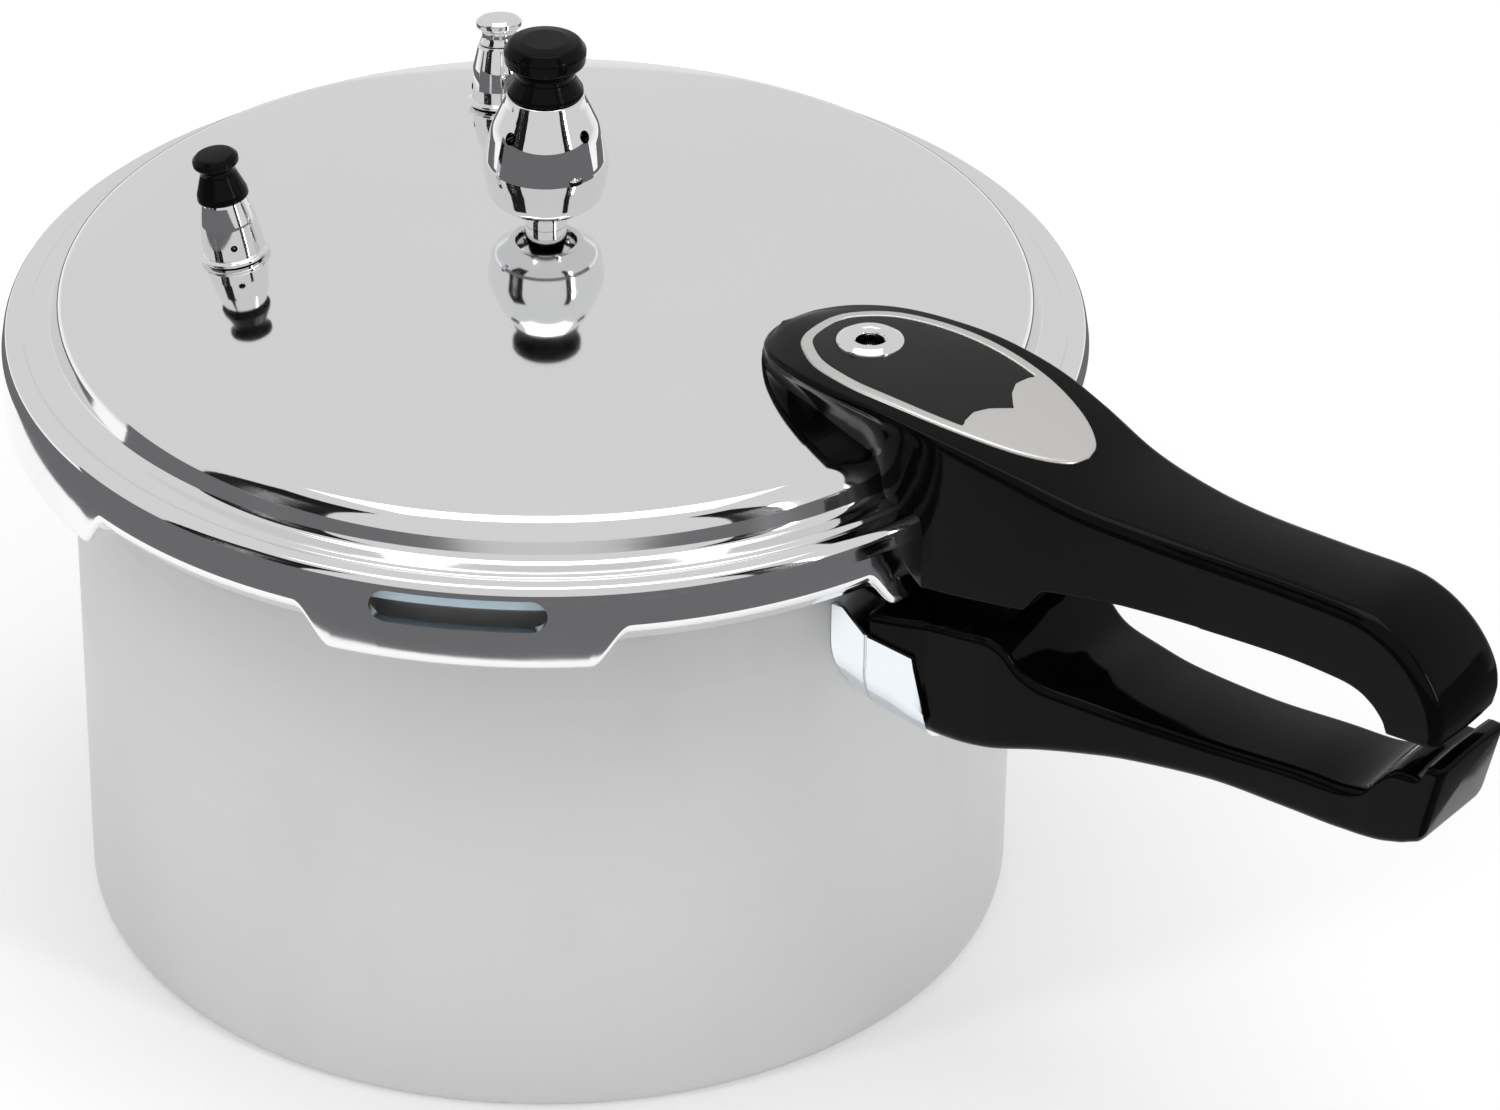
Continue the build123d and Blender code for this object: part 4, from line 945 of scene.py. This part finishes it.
washer_finish = Finish("washer_silicone", {"IOR": 1.42, "Subsurface Weight": 0.2, "Subsurface Scale": 0.003})
washer_cloud = washer_finish.noise(200.0, 3.0)
washer_tone = washer_finish.mix(washer_cloud, (0.66, 0.66, 0.64, 1), (0.76, 0.76, 0.74, 1))
washer_finish.vary("Base Color", washer_tone)
washer_finish.vary("Roughness", 0.42 + washer_cloud * 0.15)
finishes = {
    "pot_aluminium": pot_finish,
    "lid_aluminium": lid_finish,
    "guard_chrome": guard_finish,
    "handle_phenolic": handle_finish,
    "cap_phenolic": cap_finish,
    "badge_metal": badge_finish,
    "badge_inlay": inlay_finish,
    "valve_chrome": chrome_finish,
    "gasket_silicone": gasket_finish,
    "washer_silicone": washer_finish,
}
# Name, darkest and lightest tone, roughness and how fine the tool marks are.
PLAIN_METALS = (
    ("bracket_steel", (0.50, 0.50, 0.50), (0.64, 0.64, 0.64), 0.30, 90.0),
    ("screw_steel", (0.58, 0.58, 0.60), (0.72, 0.72, 0.74), 0.22, 260.0),
    ("strainer_steel", (0.62, 0.62, 0.62), (0.76, 0.76, 0.76), 0.20, 160.0),
    ("spring_steel", (0.46, 0.46, 0.47), (0.62, 0.62, 0.63), 0.24, 300.0),
    ("rivet_aluminium", (0.70, 0.70, 0.70), (0.82, 0.82, 0.82), 0.30, 220.0),
    ("fitting_brass", (0.62, 0.46, 0.20), (0.78, 0.62, 0.33), 0.18, 240.0),
)
for name, dark, light, roughness, scale in PLAIN_METALS:
    finishes[name] = plain_metal(name, dark, light, roughness, scale)
for part in frame["record"]["subparts"]:
    mesh = frame["nodes"][part["node"]].data
    mesh.materials.clear()
    mesh.materials.append(finishes[part["material_slot"]].material)

# ---- Floor, lights and camera -------------------------------------------------------------------
# A plain white floor in a bright even room, with long soft boxes on both sides and one overhead.
# A low grey band, a grey sheet round the part and two black flags are seen only as reflections.
stage_finish = Finish(
    "floor_white", {"Base Color": (0.95, 0.95, 0.95, 1), "Roughness": 0.9, "Specular IOR Level": 0.0}
)
stage_finish.shader.inputs["Emission Color"].default_value = (1.0, 1.0, 1.0, 1)
stage_finish.shader.inputs["Emission Strength"].default_value = 0.14
FLOOR_REACH, FLOOR_SIDES = 9000.0, 120
floor_turns = [2 * pi * step / FLOOR_SIDES for step in range(FLOOR_SIDES)]
floor_rim = [(FLOOR_REACH * cos(turn), FLOOR_REACH * sin(turn), 0) for turn in floor_turns]
floor = grid_piece("floor", [floor_rim, [(0, 0, 0)] * FLOOR_SIDES], stage_finish, True, False)


def panel_finish(name, level):
    """An even grey that takes no light and gives off a little of its own."""
    finish = Finish(name, {"Base Color": (0.0, 0.0, 0.0, 1), "Roughness": 1.0, "Specular IOR Level": 0.0})
    finish.shader.inputs["Emission Color"].default_value = (level, level, level * 1.05, 1)
    finish.shader.inputs["Emission Strength"].default_value = 1.0
    return finish


grey, black = panel_finish("reflected_grey", 0.15), panel_finish("reflected_black", 0.012)
FRONT = -53.5
# Name, bearing from the front, half its width in degrees, profile and finish.
PANELS = (
    ("grey_sheet", 0, 180, [(300, 2), (820, 3)], grey),
    ("grey_band", 0, 96, [(820, 3), (820, 230)], grey),
    ("left_flag", -58, 15, [(820, 230), (820, 1100)], black),
    ("right_flag", 46, 6, [(820, 230), (820, 1100)], black),
)
for name, bearing, half_span, profile, finish in PANELS:
    rings = []
    for step in range(73):
        turn = radians(FRONT + bearing - half_span + half_span * step / 36)
        rings.append([(r * cos(turn), r * sin(turn), z) for r, z in profile])
    panel = grid_piece(name, rings, finish, False, False)
    panel.visible_camera = False
    panel.visible_shadow = False
    panel.visible_diffuse = False


def soft_box(name, bearing, distance, height, wide, tall, power):
    """A large rectangular light at a bearing round the part, aimed at its middle."""
    lamp = bpy.data.lights.new(name, "AREA")
    lamp.shape = "RECTANGLE"
    lamp.size, lamp.size_y = wide, tall
    lamp.energy = power
    holder = bpy.data.objects.new(name, lamp)
    holder.location = (distance * cos(radians(bearing)), distance * sin(radians(bearing)), height)
    aim = Vector((0.02, 0.0, 0.09)) - holder.location
    holder.rotation_euler = aim.to_track_quat("-Z", "Y").to_euler()
    bpy.context.scene.collection.objects.link(holder)


soft_box("left_box", -113, distance=1.9, height=0.75, wide=0.30, tall=0.9, power=7.0)
soft_box("right_box", -2, distance=1.9, height=0.75, wide=0.30, tall=0.9, power=9.0)
soft_box("top_box", 126.5, distance=0.12, height=2.1, wide=1.5, tall=1.0, power=8.0)

world = bpy.data.worlds.new("room")
bpy.context.scene.world = world
world.use_nodes = True
world.node_tree.nodes["Background"].inputs["Color"].default_value = (0.70, 0.70, 0.70, 1)
world.node_tree.nodes["Background"].inputs["Strength"].default_value = 1.0
bpy.context.scene.view_settings.view_transform = "Standard"

CAMERA_PLACE, CAMERA_AIM, CAMERA_ROLL = (0.8032, -0.9906, 0.8561), (0.0381, 0.0286, 0.0819), 0.771
camera_data = bpy.data.cameras.new("camera")
camera_data.lens = 151.7
camera_data.sensor_width = 36.0
camera_data.clip_start, camera_data.clip_end = 0.05, 30.0
camera = bpy.data.objects.new("camera", camera_data)
camera.location = CAMERA_PLACE
view = (Vector(CAMERA_AIM) - camera.location).to_track_quat("-Z", "Y")
roll = Matrix.Rotation(radians(CAMERA_ROLL), 3, "Z").to_quaternion()
camera.rotation_euler = (view @ roll).to_euler()
bpy.context.scene.collection.objects.link(camera)
bpy.context.scene.camera = camera
